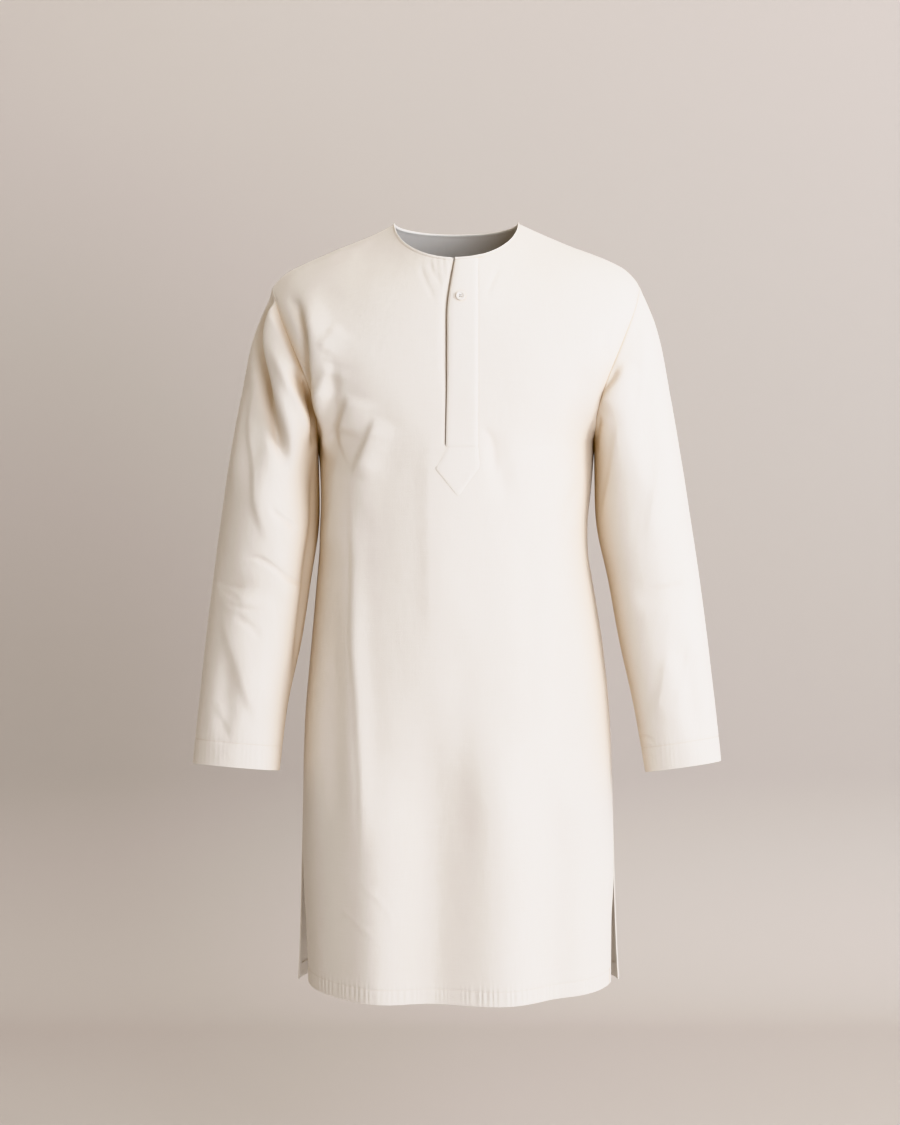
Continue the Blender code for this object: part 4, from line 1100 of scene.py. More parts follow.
def sheet_object(name: str, cloth: Cloth) -> Piece:
    """Lay a grid on a sheet's points, with a UV map of its flat places in metres.

    Args:
        name: The object's name.
        cloth: The sheet.

    Returns:
        The object, one layer thick.
    """
    rows, columns = cloth.points.shape[:2]
    deselect_all()
    bpy.ops.mesh.primitive_grid_add(x_subdivisions=columns - 1, y_subdivisions=rows - 1, size=1.0)
    piece = bpy.context.active_object
    piece.name = piece.data.name = name
    mesh = piece.data
    grid = np.empty(len(mesh.vertices) * 3)
    mesh.vertices.foreach_get("co", grid)
    grid = grid.reshape(-1, 3)
    column = np.rint((grid[:, 0] + 0.5) * (columns - 1)).astype(int)
    row = np.rint((0.5 - grid[:, 1]) * (rows - 1)).astype(int)
    mesh.vertices.foreach_set("co", cloth.points[row, column].ravel())
    corners = np.empty(len(mesh.loops), int)
    mesh.loops.foreach_get("vertex_index", corners)
    layer = mesh.uv_layers[0]
    layer.name = CLOTH_UV
    layer.data.foreach_set("uv", cloth.flat[row[corners], column[corners]].ravel())
    if cloth.hem is not None:
        shares = mesh.attributes.new(HEM_SHARE, "FLOAT", "POINT")
        shares.data.foreach_set("value", np.broadcast_to(cloth.hem, (rows, columns))[row, column])
    middle = (rows // 2) * columns + columns // 2
    faces_out = mesh.polygons[min(middle, len(mesh.polygons) - 1)]
    corner = faces_out.vertices[0]
    wanted = cloth.normals[row[corner], column[corner]]
    mesh.update()
    if float(np.array(faces_out.normal) @ wanted) < 0:
        mesh.flip_normals()
    return piece


def joined(*pieces: Piece) -> Piece:
    """Join pieces into the first and merge the points that meet.

    Args:
        pieces: The objects.

    Returns:
        The first object, which now holds them all.
    """
    select_only(*pieces)
    if len(pieces) > 1:
        bpy.ops.object.join()
    bpy.ops.object.mode_set(mode="EDIT")
    bpy.ops.mesh.select_all(action="SELECT")
    bpy.ops.mesh.remove_doubles(threshold=MERGE)
    bpy.ops.object.mode_set(mode="OBJECT")
    return pieces[0]


def shade(piece: Piece, degrees: float = 60.0) -> None:
    """Shade a piece smooth, apart from its sharp edges."""
    select_only(piece)
    bpy.ops.object.shade_smooth_by_angle(angle=math.radians(degrees))


def made_up(piece: Piece, wall: float, material: Material) -> Piece:
    """Give a sheet its thickness, half of it to each side, its shading and its material.

    Args:
        piece: The sheet.
        wall: Its thickness.
        material: Its material.

    Returns:
        The same object.
    """
    solid = piece.modifiers.new("wall", "SOLIDIFY")
    solid.thickness = wall
    solid.offset = 0.0
    solid.use_rim = True
    apply_modifiers(piece)
    shade(piece)
    piece.data.materials.append(material)
    return piece


def turned_under(
    line: np.ndarray, normals: np.ndarray, inward: np.ndarray, advance: np.ndarray, depth: np.ndarray
) -> np.ndarray:
    """Carry a border on, line by line, by an advance along the cloth and a depth behind it."""
    return line[None] + inward[None] * advance[..., None] - normals[None] * depth[..., None]


# ---------------------------------------------------------------- finishes
def new_group(
    name: str, numbers: dict[str, float], outputs: Sequence[str]
) -> tuple[Tree, bpy.types.NodeOutputs, bpy.types.NodeInputs]:
    """Start a shader node group that reads a Vector and some numbers.

    Args:
        name: The group's name.
        numbers: The names of its number inputs, with their default values.
        outputs: The names of its number outputs.

    Returns:
        The group's node tree, the sockets that it is given and the sockets that it fills.
    """
    tree = bpy.data.node_groups.new(name, "ShaderNodeTree")
    tree.interface.new_socket(name="Vector", in_out="INPUT", socket_type="NodeSocketVector")
    for socket, default in numbers.items():
        made = tree.interface.new_socket(name=socket, in_out="INPUT", socket_type="NodeSocketFloat")
        made.default_value = default
    for socket in outputs:
        tree.interface.new_socket(name=socket, in_out="OUTPUT", socket_type="NodeSocketFloat")
    given, filled = tree.nodes.new("NodeGroupInput"), tree.nodes.new("NodeGroupOutput")
    return tree, given.outputs, filled.inputs


def math_node(tree: Tree, operation: str, *values: Socket | float) -> Socket:
    """Add a Math node.

    Args:
        tree: The node tree.
        operation: Its operation.
        values: Sockets or numbers for its inputs.

    Returns:
        Its output socket.
    """
    made = tree.nodes.new("ShaderNodeMath")
    made.operation = operation
    for place, value in enumerate(values):
        if isinstance(value, Socket):
            tree.links.new(value, made.inputs[place])
        else:
            made.inputs[place].default_value = value
    return made.outputs[0]


def noise_node(tree: Tree, vector: Socket, stretch: Triple, detail: float = 2.0) -> Socket:
    """Add noise that is stretched along one way of the cloth.

    Args:
        tree: The node tree.
        vector: Where it is read.
        stretch: Cells per metre each way.
        detail: The noise's detail.

    Returns:
        Its output socket, from 0 to 1.
    """
    mapping = tree.nodes.new("ShaderNodeMapping")
    mapping.inputs["Scale"].default_value = stretch
    tree.links.new(vector, mapping.inputs["Vector"])
    noise = tree.nodes.new("ShaderNodeTexNoise")
    noise.inputs["Scale"].default_value = 1.0
    noise.inputs["Detail"].default_value = detail
    tree.links.new(mapping.outputs[0], noise.inputs["Vector"])
    return noise.outputs[0]


def mixed(tree: Tree, share: Socket, first: Socket | Triple, second: Socket | Triple) -> Socket:
    """Mix two colours.

    Args:
        tree: The node tree.
        share: How much there is of the second.
        first: A colour, or the socket that gives it.
        second: A colour, or the socket that gives it.

    Returns:
        The mixed colour's socket.
    """
    mix = tree.nodes.new("ShaderNodeMix")
    mix.data_type = "RGBA"
    for socket, colour in (("A", first), ("B", second)):
        if isinstance(colour, Socket):
            tree.links.new(colour, mix.inputs[socket])
        else:
            mix.inputs[socket].default_value = (*colour, 1.0)
    tree.links.new(share, mix.inputs["Factor"])
    return mix.outputs["Result"]


def bump_node(
    tree: Tree, height: Socket, depth: float, strength: float = 1.0, under: Socket | None = None
) -> Socket:
    """Add relief.

    Args:
        tree: The node tree.
        height: The relief's height, from 0 to 1.
        depth: Its depth in metres.
        strength: How strongly it shows.
        under: The normals that it is laid over.

    Returns:
        Its socket of normals.
    """
    bump = tree.nodes.new("ShaderNodeBump")
    bump.inputs["Distance"].default_value = depth
    bump.inputs["Strength"].default_value = strength
    tree.links.new(height, bump.inputs["Height"])
    if under:
        tree.links.new(under, bump.inputs["Normal"])
    return bump.outputs["Normal"]


def split_vector(tree: Tree, vector: Socket) -> bpy.types.NodeOutputs:
    """Split a vector into X, Y and Z.

    Args:
        tree: The node tree.
        vector: The vector's socket.

    Returns:
        The three sockets.
    """
    split = tree.nodes.new("ShaderNodeSeparateXYZ")
    tree.links.new(vector, split.inputs[0])
    return split.outputs


def plain_weave() -> Tree:
    """Build the plain weave once: threads over and under each other, some thicker than others.

    Returns:
        The node group, with the outputs Height and Tone.
    """
    name = "plain_weave"
    if name in bpy.data.node_groups:
        return bpy.data.node_groups[name]
    tree, given, filled = new_group(name, {"Threads": 1600.0, "Slub": 0.5}, ("Height", "Tone"))
    place = split_vector(tree, given["Vector"])
    waves = []
    for axis in ("X", "Y"):
        turn = math_node(tree, "MULTIPLY", place[axis], given["Threads"])
        waves.append(math_node(tree, "SINE", math_node(tree, "MULTIPLY", turn, math.pi)))
    over = math_node(tree, "SIGN", math_node(tree, "MULTIPLY", *waves))
    over = math_node(tree, "MULTIPLY_ADD", over, 0.35, 0.5)
    under = math_node(tree, "SUBTRACT", 1.0, over)
    warp, weft = (
        math_node(tree, "MULTIPLY", math_node(tree, "ABSOLUTE", wave), share)
        for wave, share in zip(waves, (over, under))
    )
    threads = math_node(tree, "ADD", warp, weft)
    along_warp = noise_node(tree, given["Vector"], WARP_SLUBS)
    along_weft = noise_node(tree, given["Vector"], WEFT_SLUBS)
    slubs = math_node(tree, "SUBTRACT", math_node(tree, "MAXIMUM", along_warp, along_weft), 0.5)
    slubs = math_node(tree, "MULTIPLY", slubs, given["Slub"])
    rise, tuft = math_node(tree, "MULTIPLY", threads, 0.5), math_node(tree, "MULTIPLY", slubs, 2.2)
    tree.links.new(math_node(tree, "ADD", rise, tuft), filled["Height"])
    cloud = math_node(tree, "SUBTRACT", noise_node(tree, given["Vector"], TONE_CLOUDS, 3.0), 0.5)
    cloud = math_node(tree, "ADD", slubs, math_node(tree, "MULTIPLY", cloud, 0.35))
    tone = math_node(tree, "ADD", math_node(tree, "MULTIPLY", threads, 0.22), cloud)
    tree.links.new(tone, filled["Tone"])
    return tree


def hem_puckers() -> Tree:
    """Build the hem's puckers once: small, uneven ribs across the band that is sewn up.

    Returns:
        The node group, with the output Height.
    """
    name = "hem_puckers"
    if name in bpy.data.node_groups:
        return bpy.data.node_groups[name]
    tree, given, filled = new_group(name, {"Share": FAR_FROM_HEM, "Ribs": 148.0}, ("Height",))
    wander = math_node(tree, "MULTIPLY", noise_node(tree, given["Vector"], PUCKER_WANDER, 1.0), 3.0)
    place = split_vector(tree, given["Vector"])
    turns = math_node(tree, "MULTIPLY_ADD", place["X"], given["Ribs"], wander)
    ribs = math_node(tree, "SINE", math_node(tree, "MULTIPLY", turns, 2 * math.pi))
    strength = noise_node(tree, given["Vector"], PUCKER_PATCHES, 1.0)
    strength = math_node(tree, "MAXIMUM", math_node(tree, "MULTIPLY_ADD", strength, 4.0, -1.35), 0.12)
    away = math_node(tree, "MULTIPLY", math_node(tree, "SUBTRACT", given["Share"], 0.62), 1.7)
    fall = math_node(tree, "MULTIPLY", math_node(tree, "MULTIPLY", away, away), -1.0)
    band = math_node(tree, "EXPONENT", fall)
    height = math_node(tree, "MULTIPLY", math_node(tree, "MULTIPLY", ribs, strength), band)
    tree.links.new(height, filled["Height"])
    return tree


def fresh_material(name: str) -> tuple[Material, Tree, bpy.types.ShaderNode]:
    """Start a material.

    Args:
        name: Its name.

    Returns:
        The material, its node tree and its Principled shader.
    """
    material = bpy.data.materials.new(name)
    material.use_nodes = True
    return material, material.node_tree, material.node_tree.nodes["Principled BSDF"]


@dataclass(frozen=True)
class ClothFinish:
    """A matt woven cloth: its colour, the colour between its threads, its weave and its fine crinkle.

    Its hollows, creases and the gaps between pieces take a darker, warmer colour, up to a reach from the
    nearest cloth: painted shade from ambient occlusion, in place of warm light bounced between layers.
    """

    name: str
    colour: Triple
    between: Triple
    # painted shade: the darker colour mixed in where ambient occlusion finds cloth nearby
    hollow: Triple = (0.84, 0.73, 0.59)
    hollow_reach: float = 0.14
    threads: float = 1650.0
    slub: float = 0.50
    relief: float = 0.00022
    crinkle: float = 0.0008
    pucker: float = 0.0004
    relief_strength: float = 0.6
    roughness: float = 0.90
    sheen: float = 0.18

    def make(self) -> Material:
        """Build the material.

        Returns:
            The material, which reads the cloth's own UV map.
        """
        material, tree, shader = fresh_material(self.name)
        place = tree.nodes.new("ShaderNodeUVMap")
        place.uv_map = CLOTH_UV
        hem = tree.nodes.new("ShaderNodeAttribute")
        hem.attribute_name = HEM_SHARE
        weave, puckers = tree.nodes.new("ShaderNodeGroup"), tree.nodes.new("ShaderNodeGroup")
        weave.node_tree, puckers.node_tree = plain_weave(), hem_puckers()
        weave.inputs["Threads"].default_value = self.threads
        weave.inputs["Slub"].default_value = self.slub
        tree.links.new(hem.outputs["Fac"], puckers.inputs["Share"])
        for group in (weave, puckers):
            tree.links.new(place.outputs["UV"], group.inputs["Vector"])
        share = math_node(tree, "MULTIPLY_ADD", weave.outputs["Tone"], 1.6, 0.60)
        dyed = mixed(tree, share, self.between, self.colour)
        # Painted shade: where ambient occlusion finds cloth near, the base colour is mixed toward a darker,
        # warmer colour.
        painted_shade_occlusion = tree.nodes.new("ShaderNodeAmbientOcclusion")
        painted_shade_occlusion.samples = 8
        painted_shade_occlusion.inputs["Distance"].default_value = self.hollow_reach
        colour = mixed(tree, painted_shade_occlusion.outputs["AO"], self.hollow, dyed)
        tree.links.new(colour, shader.inputs["Base Color"])
        normal = None
        crinkles = noise_node(tree, place.outputs["UV"], CRINKLES, 4.0)
        for height, depth in (
            (crinkles, self.crinkle),
            (puckers.outputs["Height"], self.pucker),
            (weave.outputs["Height"], self.relief),
        ):
            normal = bump_node(tree, height, depth, self.relief_strength, normal)
        tree.links.new(normal, shader.inputs["Normal"])
        rough = math_node(tree, "MULTIPLY_ADD", weave.outputs["Tone"], -0.10, self.roughness)
        tree.links.new(rough, shader.inputs["Roughness"])
        shader.inputs["Sheen Weight"].default_value = self.sheen
        shader.inputs["Sheen Roughness"].default_value = 0.5
        shader.inputs["Specular IOR Level"].default_value = 0.25
        return material


@dataclass(frozen=True)
class ThreadFinish:
    """Sewing thread: two plies twisted together."""

    name: str
    colour: Triple
    twist: float = 2600.0
    shade: float = 0.82
    relief: float = 0.00008

    def make(self) -> Material:
        """Build the material.

        Returns:
            The material, whose twist reads Object coordinates.
        """
        material, tree, shader = fresh_material(self.name)
        place = tree.nodes.new("ShaderNodeTexCoord")
        ply = noise_node(tree, place.outputs["Object"], (self.twist,) * 3, 1.0)
        shaded = tuple(self.shade * value for value in self.colour)
        tree.links.new(mixed(tree, ply, shaded, self.colour), shader.inputs["Base Color"])
        tree.links.new(bump_node(tree, ply, self.relief), shader.inputs["Normal"])
        shader.inputs["Roughness"].default_value = 0.62
        shader.inputs["Sheen Weight"].default_value = 0.2
        return material


@dataclass(frozen=True)
class ShellFinish:
    """A moulded button with a clouded, shell-like body."""

    name: str
    colour: Triple
    cloud: Triple

    def make(self) -> Material:
        """Build the material.

        Returns:
            The material, whose clouding reads Object coordinates.
        """
        material, tree, shader = fresh_material(self.name)
        place = tree.nodes.new("ShaderNodeTexCoord")
        cloud = noise_node(tree, place.outputs["Object"], SHELL_CLOUDS, 4.0)
        tree.links.new(mixed(tree, cloud, self.cloud, self.colour), shader.inputs["Base Color"])
        rough = math_node(tree, "MULTIPLY_ADD", cloud, 0.15, 0.22)
        tree.links.new(rough, shader.inputs["Roughness"])
        shader.inputs["Coat Weight"].default_value = 0.3
        return material


@dataclass(frozen=True)
class WallFinish:
    """A plain painted studio wall and floor, clear to a camera that looks through it from behind."""

    name: str
    colour: Triple
    # painted light: the lighter colour that the floor takes where the sheet faces up
    floor_colour: Triple

    def make(self) -> Material:
        """Build the material.

        Returns:
            The material, painted lighter where the sheet faces up: painted light on the floor.
        """
        material, tree, shader = fresh_material(self.name)
        surface = tree.nodes.new("ShaderNodeNewGeometry")
        # Painted light: the floor, facing up, is painted lighter than the wall.
        painted_light_share = split_vector(tree, surface.outputs["Normal"])["Z"]
        tree.links.new(mixed(tree, painted_light_share, self.colour, self.floor_colour), shader.inputs["Base Color"])
        shader.inputs["Roughness"].default_value = 1.0
        shader.inputs["Specular IOR Level"].default_value = 0.0
        looking = tree.nodes.new("ShaderNodeLightPath").outputs["Is Camera Ray"]
        clear = math_node(tree, "MULTIPLY", looking, surface.outputs["Backfacing"])
        tree.links.new(math_node(tree, "SUBTRACT", 1.0, clear), shader.inputs["Alpha"])
        return material


CREAM_CLOTH = ClothFinish("cream_cloth", (0.865, 0.825, 0.765), (0.805, 0.750, 0.675))
# The sleeves' painted shade is darker and browner, over a shorter reach.
SLEEVE_CLOTH = replace(
    CREAM_CLOTH, name="sleeve_cloth", hollow=(0.60, 0.42, 0.23), hollow_reach=0.07, pucker=0.00012
)
STRIP_CLOTH = ClothFinish("strip_cloth", (0.872, 0.834, 0.776), (0.812, 0.758, 0.684), pucker=0.0)
BINDING_CLOTH = ClothFinish(
    "binding_cloth", (0.900, 0.865, 0.805), (0.840, 0.790, 0.720), relief=0.00016, pucker=0.0
)
CREAM_THREAD = ThreadFinish("cream_thread", (0.84, 0.80, 0.73))
SHELL_BUTTON = ShellFinish("shell_button", (0.885, 0.850, 0.795), (0.855, 0.815, 0.755))
# The second colour is painted light: the floor is lighter where it faces up.
STUDIO_WALL = WallFinish("studio_wall", (0.545, 0.504, 0.468), (0.640, 0.592, 0.550))


# ---------------------------------------------------------------- stitches
@dataclass
class Thread:
    """Rows of machine stitches, each a short, fat dash of thread sunk a little into the cloth."""

    pitch: float = 0.0028
    length: float = 0.0021
    radius: float = 0.00024
    sink: float = 0.00008
    look: float = 0.3

    def dash(self) -> tuple[np.ndarray, list[tuple[int, ...]]]:
        """Model one stitch along X.

        Returns:
            Its points and its faces.
        """
        deselect_all()
        on_side = (0, math.pi / 2, 0)
        bpy.ops.mesh.primitive_uv_sphere_add(segments=6, ring_count=4, radius=1.0, rotation=on_side)
        piece = bpy.context.active_object
        bpy.ops.object.transform_apply(location=False, rotation=True, scale=False)
        points = np.array([tuple(vertex.co) for vertex in piece.data.vertices])
        faces = [tuple(face.vertices) for face in piece.data.polygons]
        bpy.data.objects.remove(piece, do_unlink=True)
        return points * (self.length / 2, self.radius, self.radius), faces

    def row(self, name: str, lines: Sequence[Line], material: Material) -> Piece:
        """Sew along lines that lie on the cloth.

        Args:
            name: The object's name.
            lines: Each line's points and the cloth's outward directions there.
            material: The thread's material.

        Returns:
            All the stitches as one object.
        """
        shape, faces = self.dash()
        points, made = [], []
        for line, normals in lines:
            lengths = run_lengths(line)
            count = max(int(lengths[-1] / self.pitch), 1)
            wanted = (np.arange(count) + 0.5) * lengths[-1] / count
            here = read_at(line, lengths, wanted)
            front = read_at(line, lengths, np.clip(wanted + self.look * self.pitch, 0, lengths[-1]))
            rear = read_at(line, lengths, np.clip(wanted - self.look * self.pitch, 0, lengths[-1]))
            along = unit(front - rear)
            facing = squared(read_at(normals, lengths, wanted), along)
            beside = np.cross(facing, along)
            for place in range(count):
                base = here[place] + facing[place] * (self.radius - self.sink)
                axes = np.stack([along[place], beside[place], facing[place]])
                start = len(points) * len(shape)
                points.append(base + shape @ axes)
                made += [tuple(corner + start for corner in face) for face in faces]
        mesh = bpy.data.meshes.new(name)
        mesh.from_pydata(np.concatenate(points).tolist(), [], made)
        mesh.shade_smooth()
        mesh.materials.append(material)
        piece = bpy.data.objects.new(name, mesh)
        bpy.context.scene.collection.objects.link(piece)
        return piece


@dataclass
class Dressing:
    """What every cloth piece needs: the cut, the finishes and the register of seam directions."""

    cut: TunicCut
    cloth: Material
    sleeve: Material
    strip: Material
    binding: Material
    thread: Material
    shell: Material
    seams: dict[tuple, np.ndarray] = field(default_factory=dict)

    @staticmethod
    def keys(line: np.ndarray) -> list[tuple]:
        """Name each point of a line by its place."""
        return [tuple(np.round(point, 5) + 0.0) for point in line]

    def note_seam(self, line: np.ndarray, normals: np.ndarray) -> None:
        """Add a piece's directions along a seam to the register."""
        for key, normal in zip(self.keys(line), normals):
            self.seams[key] = self.seams.get(key, np.zeros(3)) + normal

    def shared(self, line: np.ndarray, normals: np.ndarray) -> np.ndarray:
        """Read the directions that the pieces share along a seam."""
        found = [self.seams.get(key, normal) for key, normal in zip(self.keys(line), normals)]
        return unit(np.stack(found))


# Grooves and welts: height, distance from the seam or the stitches, and width.
SEAM_RELIEF = ((-0.00055, 0.0, 0.0011), (0.00035, 0.0050, 0.0036))
FELLED_RELIEF = ((-0.00035, 0.0, 0.0008), (0.00055, 0.0021, 0.0015), (-0.00025, 0.0045, 0.0014))
STITCH_RELIEF = ((-0.00030, 0.0, 0.0013),)


def relief(bells: Sequence[Triple], distance: np.ndarray) -> np.ndarray:
    """Add up the grooves and welts beside a seam or a row of stitches."""
    return sum(height * bell(distance - place, width) for height, place, width in bells)


def hem_row(steps: np.ndarray, hem: Turn, cloth: Cloth) -> int:
    """Find the row of a cloth on which its hem is sewn."""
    return int(np.argmin(np.abs(steps - hem.width))) + len(cloth.points) - len(steps)


@dataclass
class BodyPanel:
    """The front or the back, from the neckline to the hem."""

    dressing: Dressing
    front: bool
    name: str
    folds: Sequence[Fold]
    creases: Sequence[Crease]
    near_step: float = 0.0014
    near_count: int = 22
    even_columns: int = 60
    fold_calm: float = 0.020
    crease_calm: float = 0.008
    slit_calm: float = 0.6
    gather_step: float = 0.0037
    gather_count: int = 9
    gather_depth: float = 0.0005
    gather_length: float = 0.030
    gather_wander: Place = (0.012, 0.05)
    gather_lean: float = 0.011
    gather_patch: float = 1.7
    gather_length_patch: float = 1.3
    gather_fade: float = 3
    rumple: float = 0.00055
    small_rumple: float = 0.35
    rumple_cell: Place = (0.055, 0.16)
    small_cell: Place = (0.022, 0.07)
    small_slant: float = 0.05
    rumple_slit_calm: float = 0.2
    slit_stitch_in: float = 0.6
    felled_end: int = 8
    slit_opens: int = 4
    opening_roll_reach: float = 0.0024
    roll_loss: float = 0.7
    opening_roll: dict[Side, float] = field(default_factory=lambda: {Side.RIGHT: 0.0016, Side.LEFT: 0.0004})
    halves: dict[Side, Cloth] = field(default_factory=dict)
    form: PanelForm = field(init=False)

    def plan(self) -> None:
        """Work out both halves: the surface, its folds, creases and puckers."""
        cut = self.dressing.cut
        self.form = PanelForm(cut, self.front)
        heights = self.form.centre[:, 2]
        for side in Side:
            gap = 0 * heights
            if self.front:
                gap = by_height(OPENING, f"gap_{side.word}", heights)
                gap[cut.placket_row() :] = 0.0
            near = gap[:, None] + self.near_step * np.arange(self.near_count + 1)
            points = self.form.half(side, near, self.even_columns)
            across = side.value * (run_lengths(points) + gap[:, None])
            fall = fall_lengths(points)
            flat = np.stack([across, -(fall - fall[cut.armhole_span().stop - 1])], axis=-1)
            cloth = Cloth(points, flat, Vector((0, -1 if self.front else 1, 0)))
            x, z = cloth.points[..., 0], cloth.points[..., 2]
            calm = self.form.calm
            lift = lift_of(self.folds, x, z) * calm(points, side, self.fold_calm, self.slit_calm)
            lift += creased(self.creases, x, z) * calm(points, side, self.crease_calm, self.slit_calm)
            lift += self.gathers(points)
            lift += self.rumples(flat) * calm(points, side, self.crease_calm, self.rumple_slit_calm)
            cloth.lifted(lift)
            self.halves[side] = cloth
        self.note_seams()

    def gathers(self, points: np.ndarray) -> np.ndarray:
        """Raise the small gathers where the front is eased in beside its opening.

        Args:
            points: One half's points.

        Returns:
            The lift.
        """
        if not self.front:
            return np.zeros(points.shape[:2])
        x, z = points[..., 0], points[..., 2]
        away = (by_height(OPENING, "x", z) - x) / self.gather_step
        below = FRONT_LINE[0].z - z
        wander = grain(x / self.gather_wander[0], z / self.gather_wander[1], 5)
        leaning = away + 0.5 * wander + below / self.gather_lean
        uneven = 0.55 + 0.45 * grain(leaning / self.gather_patch, 0 * z + 0.5, 6)
        spread = eased(away) * eased((self.gather_count + 0.5 - away) / self.gather_fade)
        length = self.gather_length * (1 + 0.5 * grain(leaning / self.gather_length_patch, 0 * z + 2.5, 7))
        fade = eased(1 - below / length)
        return -self.gather_depth * np.cos(math.pi * leaning) * uneven * spread * fade

    def rumples(self, flat: np.ndarray) -> np.ndarray:
        """Loosen the cloth all over with slight, uneven waves.

        Args:
            flat: The sheet's flat places.

        Returns:
            The lift.
        """
        seed = 3 if self.front else 8
        u, v = flat[..., 0], flat[..., 1]
        broad = grain(u / self.rumple_cell[0], v / self.rumple_cell[1], seed)
        slanted = u / self.small_cell[0] + 0.3 * v / self.small_slant
        small = grain(slanted, v / self.small_cell[1], seed + 1)
        return self.rumple * (broad + self.small_rumple * small)

    def note_seams(self) -> None:
        """Put the directions along the shoulder, armhole and side seams in the register."""
        last = self.dressing.cut.slit_row() + 1
        for side, cloth in self.halves.items():
            self.dressing.note_seam(self.form.edges[side][:last], cloth.normals[:last, -1])

    def finish_half(self, side: Side) -> Cloth:
        """Press the seams and hems of one half and turn its borders under.

        Args:
            side: Which half.

        Returns:
            The half with its turned borders.
        """
        cut, cloth = self.dressing.cut, self.halves[side]
        last = cut.slit_row() + 1
        lengths, fall = run_lengths(cloth.points), fall_lengths(cloth.points)
        from_edge, from_hem = lengths[:, -1:] - lengths, fall[-1:] - fall
        rows = np.arange(len(lengths))[:, None]
        felled = 1 - eased((rows - cut.armhole_span().stop + self.felled_end) / self.felled_end)
        seams = relief(FELLED_RELIEF, from_edge) * felled + relief(SEAM_RELIEF, from_edge) * (1 - felled)
        lift = np.where(rows < last, seams, relief(STITCH_RELIEF, from_edge - SLIT_HEM.width))
        lift += relief(STITCH_RELIEF, from_hem - BODY_HEM.width)
        if self.front:
            inset = self.opening_roll[side] * (1 - self.roll_loss * eased(rows / cut.placket_row()))
            lift -= (rows < cut.placket_row()) * inset * bell(lengths, self.opening_roll_reach)
        cloth.lifted(lift)
        edge, normals = cloth.points[:, -1], cloth.normals[:, -1]
        shared = self.dressing.shared(self.form.edges[side][:last], normals[:last])
        normals = np.concatenate([shared, normals[last:]])
        inward = squared(unit(cloth.points[:, -2] - edge), normals)
        edge = edge + inward * cut.seam_gap
        open_share = eased((np.arange(len(edge)) - last + 1) / self.slit_opens)
        advance, depth = (
            seam * (1 - open_share) + hem * open_share
            for seam, hem in zip(ALLOWANCE.lines(), SLIT_HEM.lines())
        )
        more = turned_under(edge, normals, inward, advance, depth).transpose(1, 0, 2)
        points = np.concatenate([cloth.points[:, :-1], edge[:, None], more], axis=1)
        steps = ALLOWANCE.steps()[:, 0, ::-1] * side.value  # across, where a hem's steps run down
        flat = np.concatenate([cloth.flat, cloth.flat[:, -1:] + steps], axis=1)
        return self.hemmed(points, flat, cloth.outward)

    def hemmed(self, points: np.ndarray, flat: np.ndarray, outward: Vector) -> Cloth:
        """Turn the bottom border up inside.

        Args:
            points: The half's points.
            flat: Their flat places.
            outward: Which way the half faces.

        Returns:
            The half with its hem.
        """
        half = Cloth(points, flat, outward)
        advance, depth = BODY_HEM.lines()
        more = turned_under(points[-1], half.normals[-2], unit(points[-3] - points[-1]), advance, depth)
        flat_more = flat[-1:] - BODY_HEM.steps()
        fall = fall_lengths(points)
        shares = np.concatenate([fall[-1:] - fall, advance + 0 * fall[:1]]) / BODY_HEM.width
        return Cloth(np.concatenate([points, more]), np.concatenate([flat, flat_more]), outward, shares)

    def build(self) -> Piece:
        """Make the panel.

        Returns:
            The panel's object.
        """
        cloths = {side: self.finish_half(side) for side in Side}
        piece = joined(*(sheet_object(f"{self.name}_{side.word}", cloths[side]) for side in Side))
        piece.name = piece.data.name = self.name
        return made_up(piece, self.dressing.cut.cloth, self.dressing.cloth)

    def across(self, row: int) -> Line:
        """Read a whole fine row, from the wearer's right to the left.

        Args:
            row: The fine row.

        Returns:
            Its points and directions.
        """
        right, left = self.halves[Side.RIGHT], self.halves[Side.LEFT]
        points = np.concatenate([right.points[row, ::-1], left.points[row]])
        normals = np.concatenate([right.normals[row, ::-1], left.normals[row]])
        return points, normals

    def laid(self, row: int, x: np.ndarray, within: float = 0.08) -> Line:
        """Read the cloth at places across a fine row, near the middle.

        Args:
            row: The fine row.
            x: The places.
            within: How far from the middle the row is read.

        Returns:
            The points and directions there.
        """
        points, normals = self.across(row)
        near = np.abs(points[:, 0]) < within
        points, normals = points[near], normals[near]
        order = np.argsort(points[:, 0], kind="stable")
        points, normals = points[order], normals[order]
        return read_at(points, points[:, 0], x), unit(read_at(normals, points[:, 0], x))

    def hem_lines(self) -> list[Line]:
        """Find the lines of stitches at the hem and beside the slits.

        Returns:
            Lines of points on the cloth's face, with its directions.
        """
        cut, found = self.dressing.cut, []
        for outer in self.halves.values():
            count = outer.points.shape[1] - 1
            row = hem_row(HEM_STEPS, BODY_HEM, outer)
            column = count - 1 - int(np.sum(EDGE_STEPS[:-1] < SLIT_HEM.width * self.slit_stitch_in))
            below, beside = (row, slice(0, count - 4)), (slice(cut.slit_row() + 2, row), column)
            for place in (below, beside):
                line, normals = outer.points[place], outer.normals[place]
                found.append((line + normals * cut.cloth / 2, normals))
        return found


